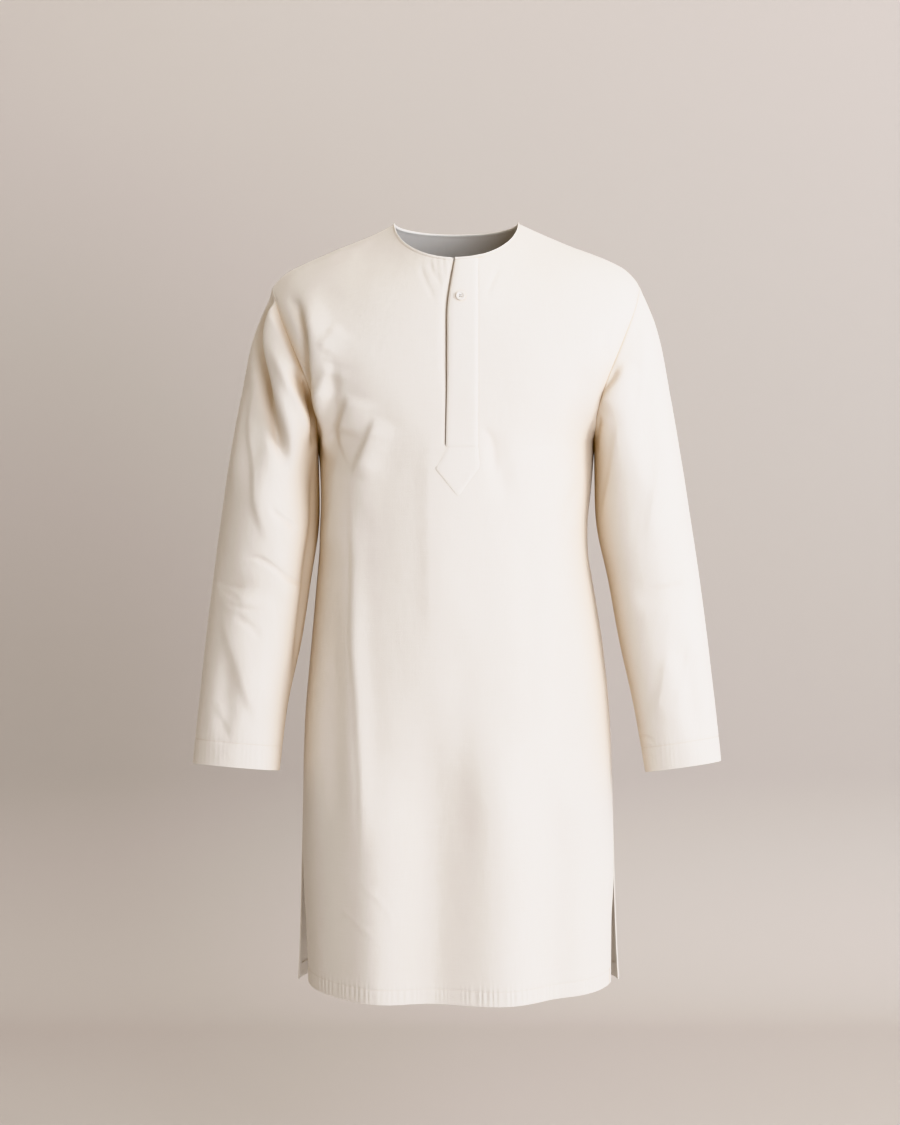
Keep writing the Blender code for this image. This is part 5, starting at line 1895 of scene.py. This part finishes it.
@dataclass
class Sleeve:
    """A set-in sleeve, from the armhole to the turned cuff hem."""

    dressing: Dressing
    side: Side
    name: str
    front: PanelForm
    back: PanelForm
    leaves: float = 0.48
    joins: float = 1.05
    outward: float = 0.64
    roundness: float = 0.36
    level: float = 0.23
    head: tuple[float, ...] = (0.0, 0.3, 0.65)
    even_rows: int = 140
    column_samples: int = 400
    degree: float = 0.001
    fold_calm: float = 0.020
    crease_calm: float = 0.009
    rumple: float = 0.00060
    rumple_cell: Place = (0.045, 0.11)
    smooth_from: float = 0.85
    armhole_press: float = 1.2
    underarm_press: float = 0.8
    loop: np.ndarray = field(init=False)
    cloth: Cloth = field(init=False)

    def ring_point(self, ring: RingRow, angle: float) -> np.ndarray:
        """Place a point of a ring.

        Args:
            ring: The ring's sizes.
            angle: 0 outside, and a quarter turn in front.

        Returns:
            The point.
        """
        middle, half = (ring.outer + ring.inner) / 2, (ring.outer - ring.inner) / 2
        x = self.side.value * (middle + half * math.cos(angle))
        z = ring.z + ring.drop / 2 * math.cos(angle) + ring.rise * math.sin(angle)
        return np.array([x, ring.y - ring.half_depth * math.sin(angle), z])

    def column(self, start: np.ndarray, angle: float) -> np.ndarray:
        """Run one line of cloth from the armhole to the wrist.

        Args:
            start: Its point on the armhole.
            angle: Its angle round the sleeve.

        Returns:
            Evenly spaced points along it.
        """
        rings = [self.ring_point(ring, angle) for ring in SLEEVE_RINGS[self.side]]
        away = (1 + math.cos(angle)) / 2
        toward = rings[0] - start
        reach = np.linalg.norm(toward)
        out = self.side.value * self.outward * away
        leaving = np.array([out, -self.roundness * math.sin(angle), -1 + self.level * away])
        leaving *= self.leaves * reach / np.linalg.norm(leaving)
        joining = unit(toward) + unit(rings[1] - rings[0])
        joining *= self.joins * reach / np.linalg.norm(joining)
        head = [hermite(start, leaving, rings[0], joining, t) for t in self.head]
        return through(head + rings, self.column_samples)

    def plan(self) -> None:
        """Work out the sleeve's surface, folds and creases."""
        cut = self.dressing.cut
        span = cut.armhole_span()
        ahead, behind = self.front.edges[self.side][span], self.back.edges[self.side][span]
        self.loop = np.concatenate([behind[::-1], ahead[1:]])
        loop = halved(self.loop)
        angles = np.linspace(-math.pi, math.pi, len(loop))
        columns = []
        for start, angle in zip(loop, angles):
            dense = self.column(start, angle)
            total = run_lengths(dense)[-1]
            hem = total - CUFF_STEPS
            even = np.linspace(EDGE_STEPS[0], hem[0], self.even_rows + 1)[1:-1]
            wanted = np.concatenate([EDGE_STEPS[::-1], even, hem])
            columns.append(read_at(dense, np.linspace(0, total, len(dense)), wanted))
        points = np.stack(columns, axis=1)
        across, fall = run_lengths(points), fall_lengths(points)
        across = across - across[:, len(loop) // 2][:, None]
        self.cloth = Cloth(points, np.stack([across, -fall], axis=-1), Vector((self.side.value, 0, 0)))
        self.close()
        places = np.degrees(angles)[None, :], points[..., 2], self.degree
        from_seam = np.linalg.norm(points - points[:1], axis=-1)
        folds = lift_of(SLEEVE_FOLDS[self.side], *places)
        creases = creased(SLEEVE_CREASES[self.side], *places)
        ring = np.abs(np.linspace(-1, 1, len(loop)))[None, :]
        broad = grain(across / self.rumple_cell[0], fall / self.rumple_cell[1], 21 + self.side.value)
        broad *= 1 - eased((ring - self.smooth_from) / (1 - self.smooth_from))
        lift = (folds + self.rumple * broad) * eased(from_seam / self.fold_calm)
        self.cloth.lifted(lift + creases * eased(from_seam / self.crease_calm))
        self.close()
        self.dressing.note_seam(self.loop, self.cloth.normals[0, ::2])

    def close(self) -> None:
        """Let the two sides of the underarm seam face the same way."""
        normals = self.cloth.normals
        shared = unit(normals[:, 0] + normals[:, -1])
        normals[:, 0] = normals[:, -1] = shared

    def build(self) -> Piece:
        """Make the sleeve.

        Returns:
            The sleeve's object.
        """
        cloth = self.cloth
        fall, around = fall_lengths(cloth.points), run_lengths(cloth.points)
        from_hem = fall[-1:] - fall
        lift = relief(SEAM_RELIEF, fall) * self.armhole_press
        lift += relief(STITCH_RELIEF, from_hem - CUFF_HEM.width)
        lift += relief(SEAM_RELIEF, np.minimum(around, around[:, -1:] - around)) * self.underarm_press
        cloth.points = cloth.points + cloth.normals * lift[..., None]
        cloth.points[:, 0] = cloth.points[:, -1] = (cloth.points[:, 0] + cloth.points[:, -1]) / 2
        cloth.refresh()
        self.close()
        above = np.full((len(ALLOWANCE.inward), from_hem.shape[1]), FAR_FROM_HEM)
        below = np.linspace(0, 1, len(CUFF_HEM.inward))[:, None] + 0 * from_hem[:1]
        shares = np.concatenate([above, from_hem / CUFF_HEM.width, below])
        piece = joined(sheet_object(self.name, Cloth(*self.bordered(), cloth.outward, shares)))
        return made_up(piece, self.dressing.cut.cloth, self.dressing.sleeve)

    def bordered(self) -> tuple[np.ndarray, np.ndarray]:
        """Turn the armhole's allowance in and the cuff's hem up.

        Returns:
            The points and the flat places, borders included.
        """
        cloth, points = self.cloth, self.cloth.points.copy()
        shared = unit(halved(self.dressing.shared(self.loop, cloth.normals[0, ::2])))
        inward = squared(unit(points[1] - points[0]), shared)
        points[0] = points[0] + inward * self.dressing.cut.seam_gap
        top = turned_under(points[0], shared, inward, *ALLOWANCE.lines())[::-1]
        up = unit(points[-3] - points[-1])
        foot = turned_under(points[-1], cloth.normals[-1], up, *CUFF_HEM.lines())
        flat_top = cloth.flat[:1] + ALLOWANCE.steps()[::-1]
        flat_foot = cloth.flat[-1:] - CUFF_HEM.steps()
        return np.concatenate([top, points, foot]), np.concatenate([flat_top, cloth.flat, flat_foot])

    def hem_lines(self) -> list[Line]:
        """Find the line of stitches round the cuff.

        Returns:
            One line of points on the cloth's face, with its directions.
        """
        row = hem_row(CUFF_STEPS, CUFF_HEM, self.cloth)
        line, normals = self.cloth.points[row], self.cloth.normals[row]
        return [(line + normals * self.dressing.cut.cloth / 2, normals)]


@dataclass
class Placket:
    """The two strips of the half placket: the pointed overlap and the underlap behind the opening."""

    dressing: Dressing
    front: BodyPanel
    sewn_x: float = 0.0278
    shoulder_z: float = -0.2810
    spread: float = 0.0143
    flare: float = 0.0024
    tip: tuple[float, float] = (0.0028, -0.3180)
    underlap_in: float = 0.012
    underlap_out: float = 0.022
    underlap_end_z: float = -0.268
    stitch_in: float = 0.0022
    stitch_sink: float = 0.00012
    edge_roll: float = 0.0005
    blend: float = 0.0070
    flush: float = -0.0004
    point_step: float = 0.0008
    sink_lead: float = 0.001
    step_lead: float = 0.003
    step_length: float = 0.004
    roll_reach: float = 0.0007
    groove_reach: float = 0.0009
    point_margin: float = 0.0012
    stitch_room: float = 2.5
    under_depth: float = 0.0030
    even_columns: int = 19
    cloth: Cloth = field(init=False)

    def sides(self, z: float) -> Place:
        """Find the overlap's two sides.

        Args:
            z: The height.

        Returns:
            The X of its free edge and of its sewn side.
        """
        cut = self.dressing.cut
        start = float(by_height(OPENING, "x", max(z, cut.placket_end_z)))
        if z >= cut.placket_end_z:
            return start, self.sewn_x
        if z >= self.shoulder_z:
            t = (cut.placket_end_z - z) / (cut.placket_end_z - self.shoulder_z)
            return start - self.spread * t, self.sewn_x + self.flare * t
        t = (self.shoulder_z - z) / (self.shoulder_z - self.tip[1])
        low, high = start - self.spread, self.sewn_x + self.flare
        return low * (1 - t) + self.tip[0] * t, high * (1 - t) + self.tip[0] * t

    def rows(self, lowest: float) -> list[int]:
        """List the front's fine rows down to a height."""
        heights = self.front.form.centre[:, 2]
        return [row for row in range(len(heights)) if heights[row] >= lowest]

    def outs(self, z: float) -> Triple:
        """Say how far the overlap stands out.

        Args:
            z: The height.

        Returns:
            How far at its free edge, in its middle and at its sewn side.
        """
        cut = self.dressing.cut
        full = cut.solid_wall + cut.laid_gap
        sunk = float(eased((cut.placket_end_z + self.sink_lead - z) / self.step_length))
        stepped = float(eased((self.shoulder_z + self.step_lead - z) / self.step_length))
        free = full * (1 - sunk) + (self.flush * (1 - stepped) + self.point_step * stepped) * sunk
        return free, full * (1 - sunk) + self.point_step * sunk, self.flush

    def strip(self, rows: Sequence[int], sides: Sequence[Place], outs: Sequence[Triple]) -> Cloth:
        """Lay a strip on the front.

        Args:
            rows: The front's fine rows that it follows.
            sides: Its two sides on each row.
            outs: How far it lies out on each row, at one side, in the middle and at the other side.

        Returns:
            The strip, its borders rolled down a little.
        """
        even = np.linspace(0.11, 0.89, self.even_columns)
        shares = np.concatenate([[0, 0.012, 0.035, 0.07], even, [0.93, 0.965, 0.988, 1]])
        points, flat = [], []
        for row, (low, high), (one, middle, other) in zip(rows, sides, outs):
            x = low + (high - low) * shares
            found, facing = self.front.laid(row, x)
            near_one, near_other = 1 - eased((x - low) / self.blend), 1 - eased((high - x) / self.blend)
            out = middle + (one - middle) * near_one + (other - middle) * near_other
            edge = np.minimum(x - low, high - x)
            roll = self.edge_roll * bell(edge, self.roll_reach)
            sink = self.stitch_sink * bell(edge - self.stitch_in, self.groove_reach)
            points.append(found + facing * (out - math.copysign(1, middle) * (roll + sink))[:, None])
            flat.append(np.stack([x, np.full(len(x), self.front.form.centre[row, 2])], axis=1))
        return Cloth(np.stack(points), np.stack(flat), Vector((0, -1, 0)))

    def build_overlap(self) -> Piece:
        """Make the pointed upper strip.

        Returns:
            Its object.
        """
        rows = self.rows(self.tip[1] + self.point_margin)
        heights = self.front.form.centre[rows, 2]
        self.cloth = self.strip(rows, [self.sides(z) for z in heights], [self.outs(z) for z in heights])
        piece = sheet_object("placket_strip", self.cloth)
        return made_up(piece, self.dressing.cut.solid_wall, self.dressing.strip)

    def build_underlap(self) -> Piece:
        """Make the strip behind the opening.

        Returns:
            Its object.
        """
        rows = self.rows(self.underlap_end_z)
        middles = by_height(OPENING, "x", self.front.form.centre[rows, 2])
        sides = [(middle - self.underlap_in, middle + self.underlap_out) for middle in middles]
        cloth = self.strip(rows, sides, [(-self.under_depth,) * 3] * len(rows))
        piece = sheet_object("placket_under_strip", cloth)
        return made_up(piece, self.dressing.cut.solid_wall, self.dressing.strip)

    def stitch_lines(self) -> list[Line]:
        """Find the stitches down the strip's free edge, down its sewn side and round its point.

        Returns:
            Lines of points on the strip's face, with its directions.
        """
        cloth, found = self.cloth, []
        for near_free_edge in (True, False):
            rows, columns = [], []
            for row in range(2, len(cloth.points) - 2):
                width = run_lengths(cloth.points[row])
                if width[-1] >= self.stitch_room * self.stitch_in:
                    wanted = self.stitch_in if near_free_edge else width[-1] - self.stitch_in
                    rows.append(row)
                    columns.append(np.interp(wanted, width, np.arange(len(width))))
            line, normals = cloth.along(rows, columns)
            found.append((line + normals * self.dressing.cut.solid_wall / 2, normals))
        return found


# The binding's section: the share of its height and of its half thickness, outside and then inside.
BINDING_SECTION = (
    ((0.0, 0.75), (0.08, 1.0), (0.3, 1.04), (0.55, 1.1), (0.8, 0.95), (0.95, 0.6))
    + ((1.0, 0.0), (0.95, -0.6), (0.8, -0.95), (0.55, -1.0), (0.08, -1.0), (0.0, -0.75))
)
BIAS = 0.7071 * np.array([[1, 1], [-1, 1]])  # turns the weave by 45 degrees


@dataclass
class NeckBinding:
    """The narrow bound edge of the neckline."""

    dressing: Dressing
    front: BodyPanel
    back: BodyPanel
    width: float = 0.0034
    half: float = 0.0009
    lean: float = 0.55
    foot: float = 0.00012
    ripple: float = 0.00010
    ripple_pitch: float = 0.0041
    ripple_drift: float = 0.013
    strip_x: float = 0.0278
    strip_margin: float = 0.0003
    path_points: int = 420
    path_round: float = 0.0015
    facing_round: float = 0.006
    stitch_up: float = 0.28
    lines: list[Line] = field(init=False)

    def path(self) -> Line:
        """Run along the neckline, from the overlap's free edge round the back to the opening's other side.

        Returns:
            The path and the cloth's directions along it.
        """
        left, right = (self.front.halves[side] for side in (Side.LEFT, Side.RIGHT))
        back_left, back_right = (self.back.halves[side] for side in (Side.LEFT, Side.RIGHT))
        points, normals = [self.front.form.centre[:1]], [left.normals[0, :1]]
        back, out = slice(-2, None, -1), slice(1, None)
        for half, order in ((left, slice(None)), (back_left, back), (back_right, out), (right, back)):
            points.append(half.points[0, order])
            normals.append(half.normals[0, order])
        path, facing = np.concatenate(points), np.concatenate(normals)
        lengths = run_lengths(path)
        keep = np.concatenate([[True], np.diff(lengths) > MERGE / 2])
        wanted = np.linspace(0, lengths[keep][-1], self.path_points)
        path, facing = (read_at(values[keep], lengths[keep], wanted) for values in (path, facing))
        return rounded(path, wanted, self.path_round), unit(rounded(facing, wanted, self.facing_round))

    def build(self) -> Piece:
        """Make the binding.

        Returns:
            Its object.
        """
        cut = self.dressing.cut
        path, facing = self.path()
        tangent = unit(np.gradient(path, axis=0))
        foot = squared(facing, tangent)
        head = squared(unit(path * (1, 1, 0)) + (0, 0, self.lean), tangent)
        rises = [np.cross(tangent, way) for way in (foot, head)]
        rises = [rise * np.where(rise[:, 2:] < 0, -1, 1) for rise in rises]
        on_strip = (path[:, 1] < 0) & (path[:, 0] < self.strip_x + self.width)
        on_strip &= path[:, 0] > self.front.form.centre[0, 0] - self.strip_margin
        thick = 1.5 * cut.solid_wall + cut.laid_gap + cut.seam_gap
        outer = np.where(on_strip, thick, self.half)
        lengths = run_lengths(path)
        drift = 1.5 * np.sin(lengths / self.ripple_drift)
        wave = self.ripple * np.sin(2 * math.pi * lengths / self.ripple_pitch + drift)

        def level(up: float) -> Line:
            """Find the middle of the section at a share of its height, and the way out from there."""
            rise = rises[0] * (1 - up) + rises[1] * up
            return path + rises[0] * self.foot + rise * (up * self.width), foot * (1 - up) + head * up

        rings = []
        for up, out in BINDING_SECTION:
            base, way = level(up)
            reach = (outer if out > 0 else self.half) + wave * abs(out) * up
            rings.append(base + way * (reach * out)[:, None])
        points = np.stack(rings + rings[:1], axis=1)
        flat = np.stack([run_lengths(points), np.repeat(-lengths[:, None], points.shape[1], axis=1)], axis=-1)
        piece = joined(sheet_object("neck_edge", Cloth(points, flat @ BIAS)))
        bpy.ops.object.mode_set(mode="EDIT")
        bpy.ops.mesh.select_all(action="DESELECT")
        bpy.ops.mesh.select_non_manifold()
        bpy.ops.mesh.fill_holes(sides=0)
        bpy.ops.mesh.select_all(action="SELECT")
        bpy.ops.mesh.normals_make_consistent(inside=False)
        bpy.ops.object.mode_set(mode="OBJECT")
        shade(piece)
        piece.data.materials.append(self.dressing.binding)
        base, way = level(self.stitch_up)
        way = unit(way)
        self.lines = [((base + way * outer[:, None])[2:-2], way[2:-2])]
        return piece


@dataclass
class SewnButton:
    """The button at the top of the placket, with its thread."""

    dressing: Dressing
    placket: Placket
    x: float = 0.0045
    z: float = -0.0790
    radius: float = 0.0055
    height: float = 0.0021
    rim: float = 0.0016
    dish: float = 0.0009
    hole: float = 0.00075
    hole_spread: float = 0.0016
    gap: float = 0.0004
    edge_round: float = 0.00018
    thread_radius: float = 0.00028
    thread_apart: float = 0.0002
    thread_over: float = 0.0001

    def seat(self) -> Line:
        """Find where the button lies.

        Returns:
            The middle of its back and the way it faces.
        """
        cut = self.dressing.cut
        front = self.placket.front
        heights = front.form.centre[:, 2]
        row = int(np.sum(heights > self.z)) - 1
        share = (heights[row] - self.z) / (heights[row] - heights[row + 1])
        above, facing = front.laid(row, np.array([self.x]))
        below, _ = front.laid(row + 1, np.array([self.x]))
        found = above[0] * (1 - share) + below[0] * share
        return found + facing[0] * (1.5 * cut.solid_wall + cut.laid_gap + self.gap), facing[0]

    def build(self) -> list[Piece]:
        """Make the button and its thread.

        Returns:
            The button's object and the thread's.
        """
        seat, facing = self.seat()
        deselect_all()
        bpy.ops.mesh.primitive_cylinder_add(vertices=64, radius=self.radius, depth=self.height)
        button = bpy.context.active_object
        button.name = button.data.name = "shell_button"
        self.shape(button)
        for number in range(4):
            turn = math.pi / 4 + number * math.pi / 2
            spot = (self.hole_spread * math.cos(turn), self.hole_spread * math.sin(turn), 0)
            deselect_all()
            depth = 3 * self.height
            bpy.ops.mesh.primitive_cylinder_add(vertices=20, radius=self.hole, depth=depth, location=spot)
            cutter = bpy.context.active_object
            cut = button.modifiers.new("hole", "BOOLEAN")
            cut.object = cutter
            apply_modifiers(button)
            bpy.data.objects.remove(cutter, do_unlink=True)
        bevel = button.modifiers.new("soft_edges", "BEVEL")
        bevel.width = self.edge_round
        bevel.segments = 2
        bevel.limit_method = "ANGLE"
        bevel.angle_limit = math.radians(35)
        apply_modifiers(button)
        shade(button, 40)
        button.data.materials.append(self.dressing.shell)
        turned = Vector(facing).to_track_quat("Z", "Y").to_matrix().to_4x4()
        turned.translation = Vector(seat + facing * self.height / 2)
        button.data.transform(turned)
        return [button, self.thread(np.array(turned))]

    def shape(self, button: Piece) -> None:
        """Inset the top face into a rim and press the middle down.

        Args:
            button: The button's object.
        """
        select_only(button)
        bpy.ops.object.mode_set(mode="EDIT")
        bpy.ops.mesh.select_mode(type="FACE")
        bpy.ops.mesh.select_all(action="DESELECT")
        bpy.ops.object.mode_set(mode="OBJECT")
        for face in button.data.polygons:
            face.select = face.normal.z > 0.9
        bpy.ops.object.mode_set(mode="EDIT")
        for width, depth in ((1, 0), (0.45, 0.8), (0.5, 0.2)):
            bpy.ops.mesh.inset(thickness=self.rim * width, depth=-self.dish * depth)
        bpy.ops.object.mode_set(mode="OBJECT")

    def thread(self, place: np.ndarray) -> Piece:
        """Sew the button on with two crossed pairs of threads.

        Args:
            place: The button's matrix.

        Returns:
            The thread's object.
        """
        level = self.height / 2 - self.dish + self.thread_over
        lines = []
        for number in range(2):
            turn = math.pi / 4 + number * math.pi / 2
            for beside in (-self.thread_apart, self.thread_apart):
                along = np.array([math.cos(turn), math.sin(turn), 0])
                across = np.array([-along[1], along[0], 0])
                middle = across * beside + (0, 0, level)
                ends = [middle + along * self.hole_spread * sign for sign in (-1, 1)]
                ends = [end @ place[:3, :3].T + place[:3, 3] for end in ends]
                lines.append((np.stack(ends), np.stack([place[:3, 2]] * 2)))
        sewn = Thread(pitch=10.0, length=2 * self.hole_spread + 0.0008, radius=self.thread_radius, sink=0.0)
        return sewn.row("button_thread", lines, self.dressing.thread)


# ---------------------------------------------------------------- studio
@dataclass
class Studio:
    """A plain pale floor that curves up into a wall, soft light and the camera."""

    distance: float = 4.8
    tilt: float = 8.0
    aim_x: float = -0.007995
    aim_z: float = -0.4129581
    lens: float = 124.878048
    floor_z: float = -1.36
    wall_y: float = 1.7
    curve: float = 0.35
    half_width: float = 7.0
    key_power: float = 88.0
    front_power: float = 64.0
    fill_power: float = 12.5
    wall_power: float = 22.0
    top_power: float = 14.0

    def camera(self) -> None:
        """Set up the camera."""
        deselect_all()
        angle = math.radians(self.tilt)
        place = (self.aim_x, -self.distance * math.cos(angle), self.aim_z + self.distance * math.sin(angle))
        bpy.ops.object.camera_add(location=place, rotation=(math.pi / 2 - angle, 0, 0))
        camera = bpy.context.active_object
        camera.data.lens = self.lens
        camera.data.sensor_width = 36.0
        camera.data.clip_end = 100.0
        bpy.context.scene.camera = camera

    def sweep(self) -> None:
        """Make the floor and the wall in one sheet."""
        turn = np.linspace(0, math.pi / 2, 24)
        y = np.concatenate([[-8.0], self.wall_y - self.curve + self.curve * np.sin(turn), [self.wall_y]])
        z = np.concatenate([[0.0], self.curve * (1 - np.cos(turn)), [6.0]]) + self.floor_z
        x = np.linspace(-self.half_width, self.half_width, 9)
        points = np.stack(np.broadcast_arrays(x[None], y[:, None], z[:, None]), -1)
        piece = sheet_object("studio_sweep", Cloth(points, points[..., :2], Vector((0, -1, 0))))
        shade(piece, 80)
        piece.data.materials.append(STUDIO_WALL.make())

    def area(self, name: str, place: Triple, aim: Triple, size: Place, power: float, colour: Triple) -> None:
        """Hang a soft rectangular light.

        Args:
            name: Its name.
            place: Where it hangs.
            aim: What it points at.
            size: Its width and height.
            power: Its power in watts.
            colour: Its colour.
        """
        deselect_all()
        bpy.ops.object.light_add(type="AREA", location=place)
        lamp = bpy.context.active_object
        lamp.name = name
        lamp.rotation_euler = (Vector(aim) - Vector(place)).to_track_quat("-Z", "Y").to_euler()
        lamp.data.shape = "RECTANGLE"
        lamp.data.size, lamp.data.size_y = size
        lamp.data.energy = power
        lamp.data.color = colour

    def light(self) -> None:
        """Hang the lights and set the surroundings."""
        self.area("key", (3.14, -1.96, 0.75), (0, 0, -0.45), (1.3, 1.9), self.key_power, (0.93, 1.0, 1.13))
        self.area("front", (1.27, -3.48, 0.6), (0, 0, -0.45), (1.3, 1.9), self.front_power, (0.93, 1.0, 1.13))
        self.area("fill", (-2.6, -2.6, 0.2), (0, 0, -0.5), (2.0, 2.0), self.fill_power, (1.0, 0.93, 0.84))
        self.area("wall", (2.4, 0.2, 1.0), (1.0, 1.7, -0.2), (1.2, 1.2), self.wall_power, (0.98, 1.0, 1.03))
        self.area("top", (-0.5, 0.3, 1.3), (-0.4, 1.7, 0.0), (1.8, 0.6), self.top_power, (1.0, 0.97, 0.94))
        world = bpy.data.worlds.new("studio_air")
        bpy.context.scene.world = world
        world.use_nodes = True
        background = world.node_tree.nodes["Background"]
        background.inputs["Color"].default_value = (1.0, 0.84, 0.67, 1.0)
        background.inputs["Strength"].default_value = 0.36

    def build(self) -> None:
        """Set up the whole studio."""
        self.camera()
        self.sweep()
        self.light()
        bpy.context.scene.view_settings.view_transform = "Khronos PBR Neutral"
        bpy.context.scene.view_settings.look = "None"


# ---------------------------------------------------------------- the tunic
@dataclass
class KurtaTunic:
    """The whole garment, piece by piece."""

    dressing: Dressing

    def place(self, piece: Piece, slot: str, *nodes: str) -> Piece:
        """Let a piece ride on the tunic's one body.

        Args:
            piece: The object.
            slot: The name of a material slot; not used.
            nodes: The nodes that it stands for.

        Returns:
            The same object.
        """
        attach(piece, ROOT)
        if nodes:
            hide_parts(*nodes)
        LOG.info("%s: %d faces", piece.name, len(piece.data.polygons))
        return piece

    def build(self) -> None:
        """Make every piece and attach it to the tunic's one body."""
        dressing = self.dressing
        front = BodyPanel(dressing, True, "front_cloth", FRONT_FOLDS, FRONT_CREASES)
        back = BodyPanel(dressing, False, "back_cloth", BACK_FOLDS, BACK_CREASES)
        for panel in (front, back):
            panel.plan()
        sleeves = {}
        for side in Side:
            sleeves[side] = Sleeve(dressing, side, f"sleeve_cloth_{side.word}", front.form, back.form)
            sleeves[side].plan()
        thread = Thread()
        front_piece = self.place(front.build(), "front_panel", "front_panel")
        back_piece = self.place(back.build(), "back_panel", "back_panel")
        for panel, slot in ((front, "front_panel"), (back, "back_panel")):
            sewn = thread.row(f"{panel.name}_stitches", panel.hem_lines(), dressing.thread)
            self.place(sewn, slot)
        placket = Placket(dressing, front)
        strip = self.place(placket.build_overlap(), "placket_overlap", "placket_overlap")
        under = self.place(placket.build_underlap(), "placket_underlap", "placket_underlap")
        sewn = thread.row("placket_stitches", placket.stitch_lines(), dressing.thread)
        strip_sewn = self.place(sewn, "placket_overlap")
        binding = NeckBinding(dressing, front, back)
        edge = self.place(binding.build(), "neck_binding", "neck_binding")
        sewn = thread.row("neck_stitches", binding.lines, dressing.thread)
        edge_sewn = self.place(sewn, "neck_binding")
        button, button_thread = SewnButton(dressing, placket).build()
        self.place(button, "button", "button")
        self.place(button_thread, "placket_overlap")
        for side, sleeve in sleeves.items():
            arm = f"sleeve_{side.word}"
            upper, lower = f"{arm}_upper", f"{arm}_lower"
            piece = self.place(sleeve.build(), upper, upper, lower)
            sewn = self.place(thread.row(f"{arm}_stitches", sleeve.hem_lines(), dressing.thread), lower)


def main() -> None:
    """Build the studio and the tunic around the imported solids."""
    logging.basicConfig(level=logging.INFO, format="%(name)s: %(message)s")
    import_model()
    Studio().build()
    finishes = (CREAM_CLOTH, SLEEVE_CLOTH, STRIP_CLOTH, BINDING_CLOTH, CREAM_THREAD, SHELL_BUTTON)
    KurtaTunic(Dressing(TunicCut(), *(finish.make() for finish in finishes))).build()


if __name__ == "__main__":
    main()
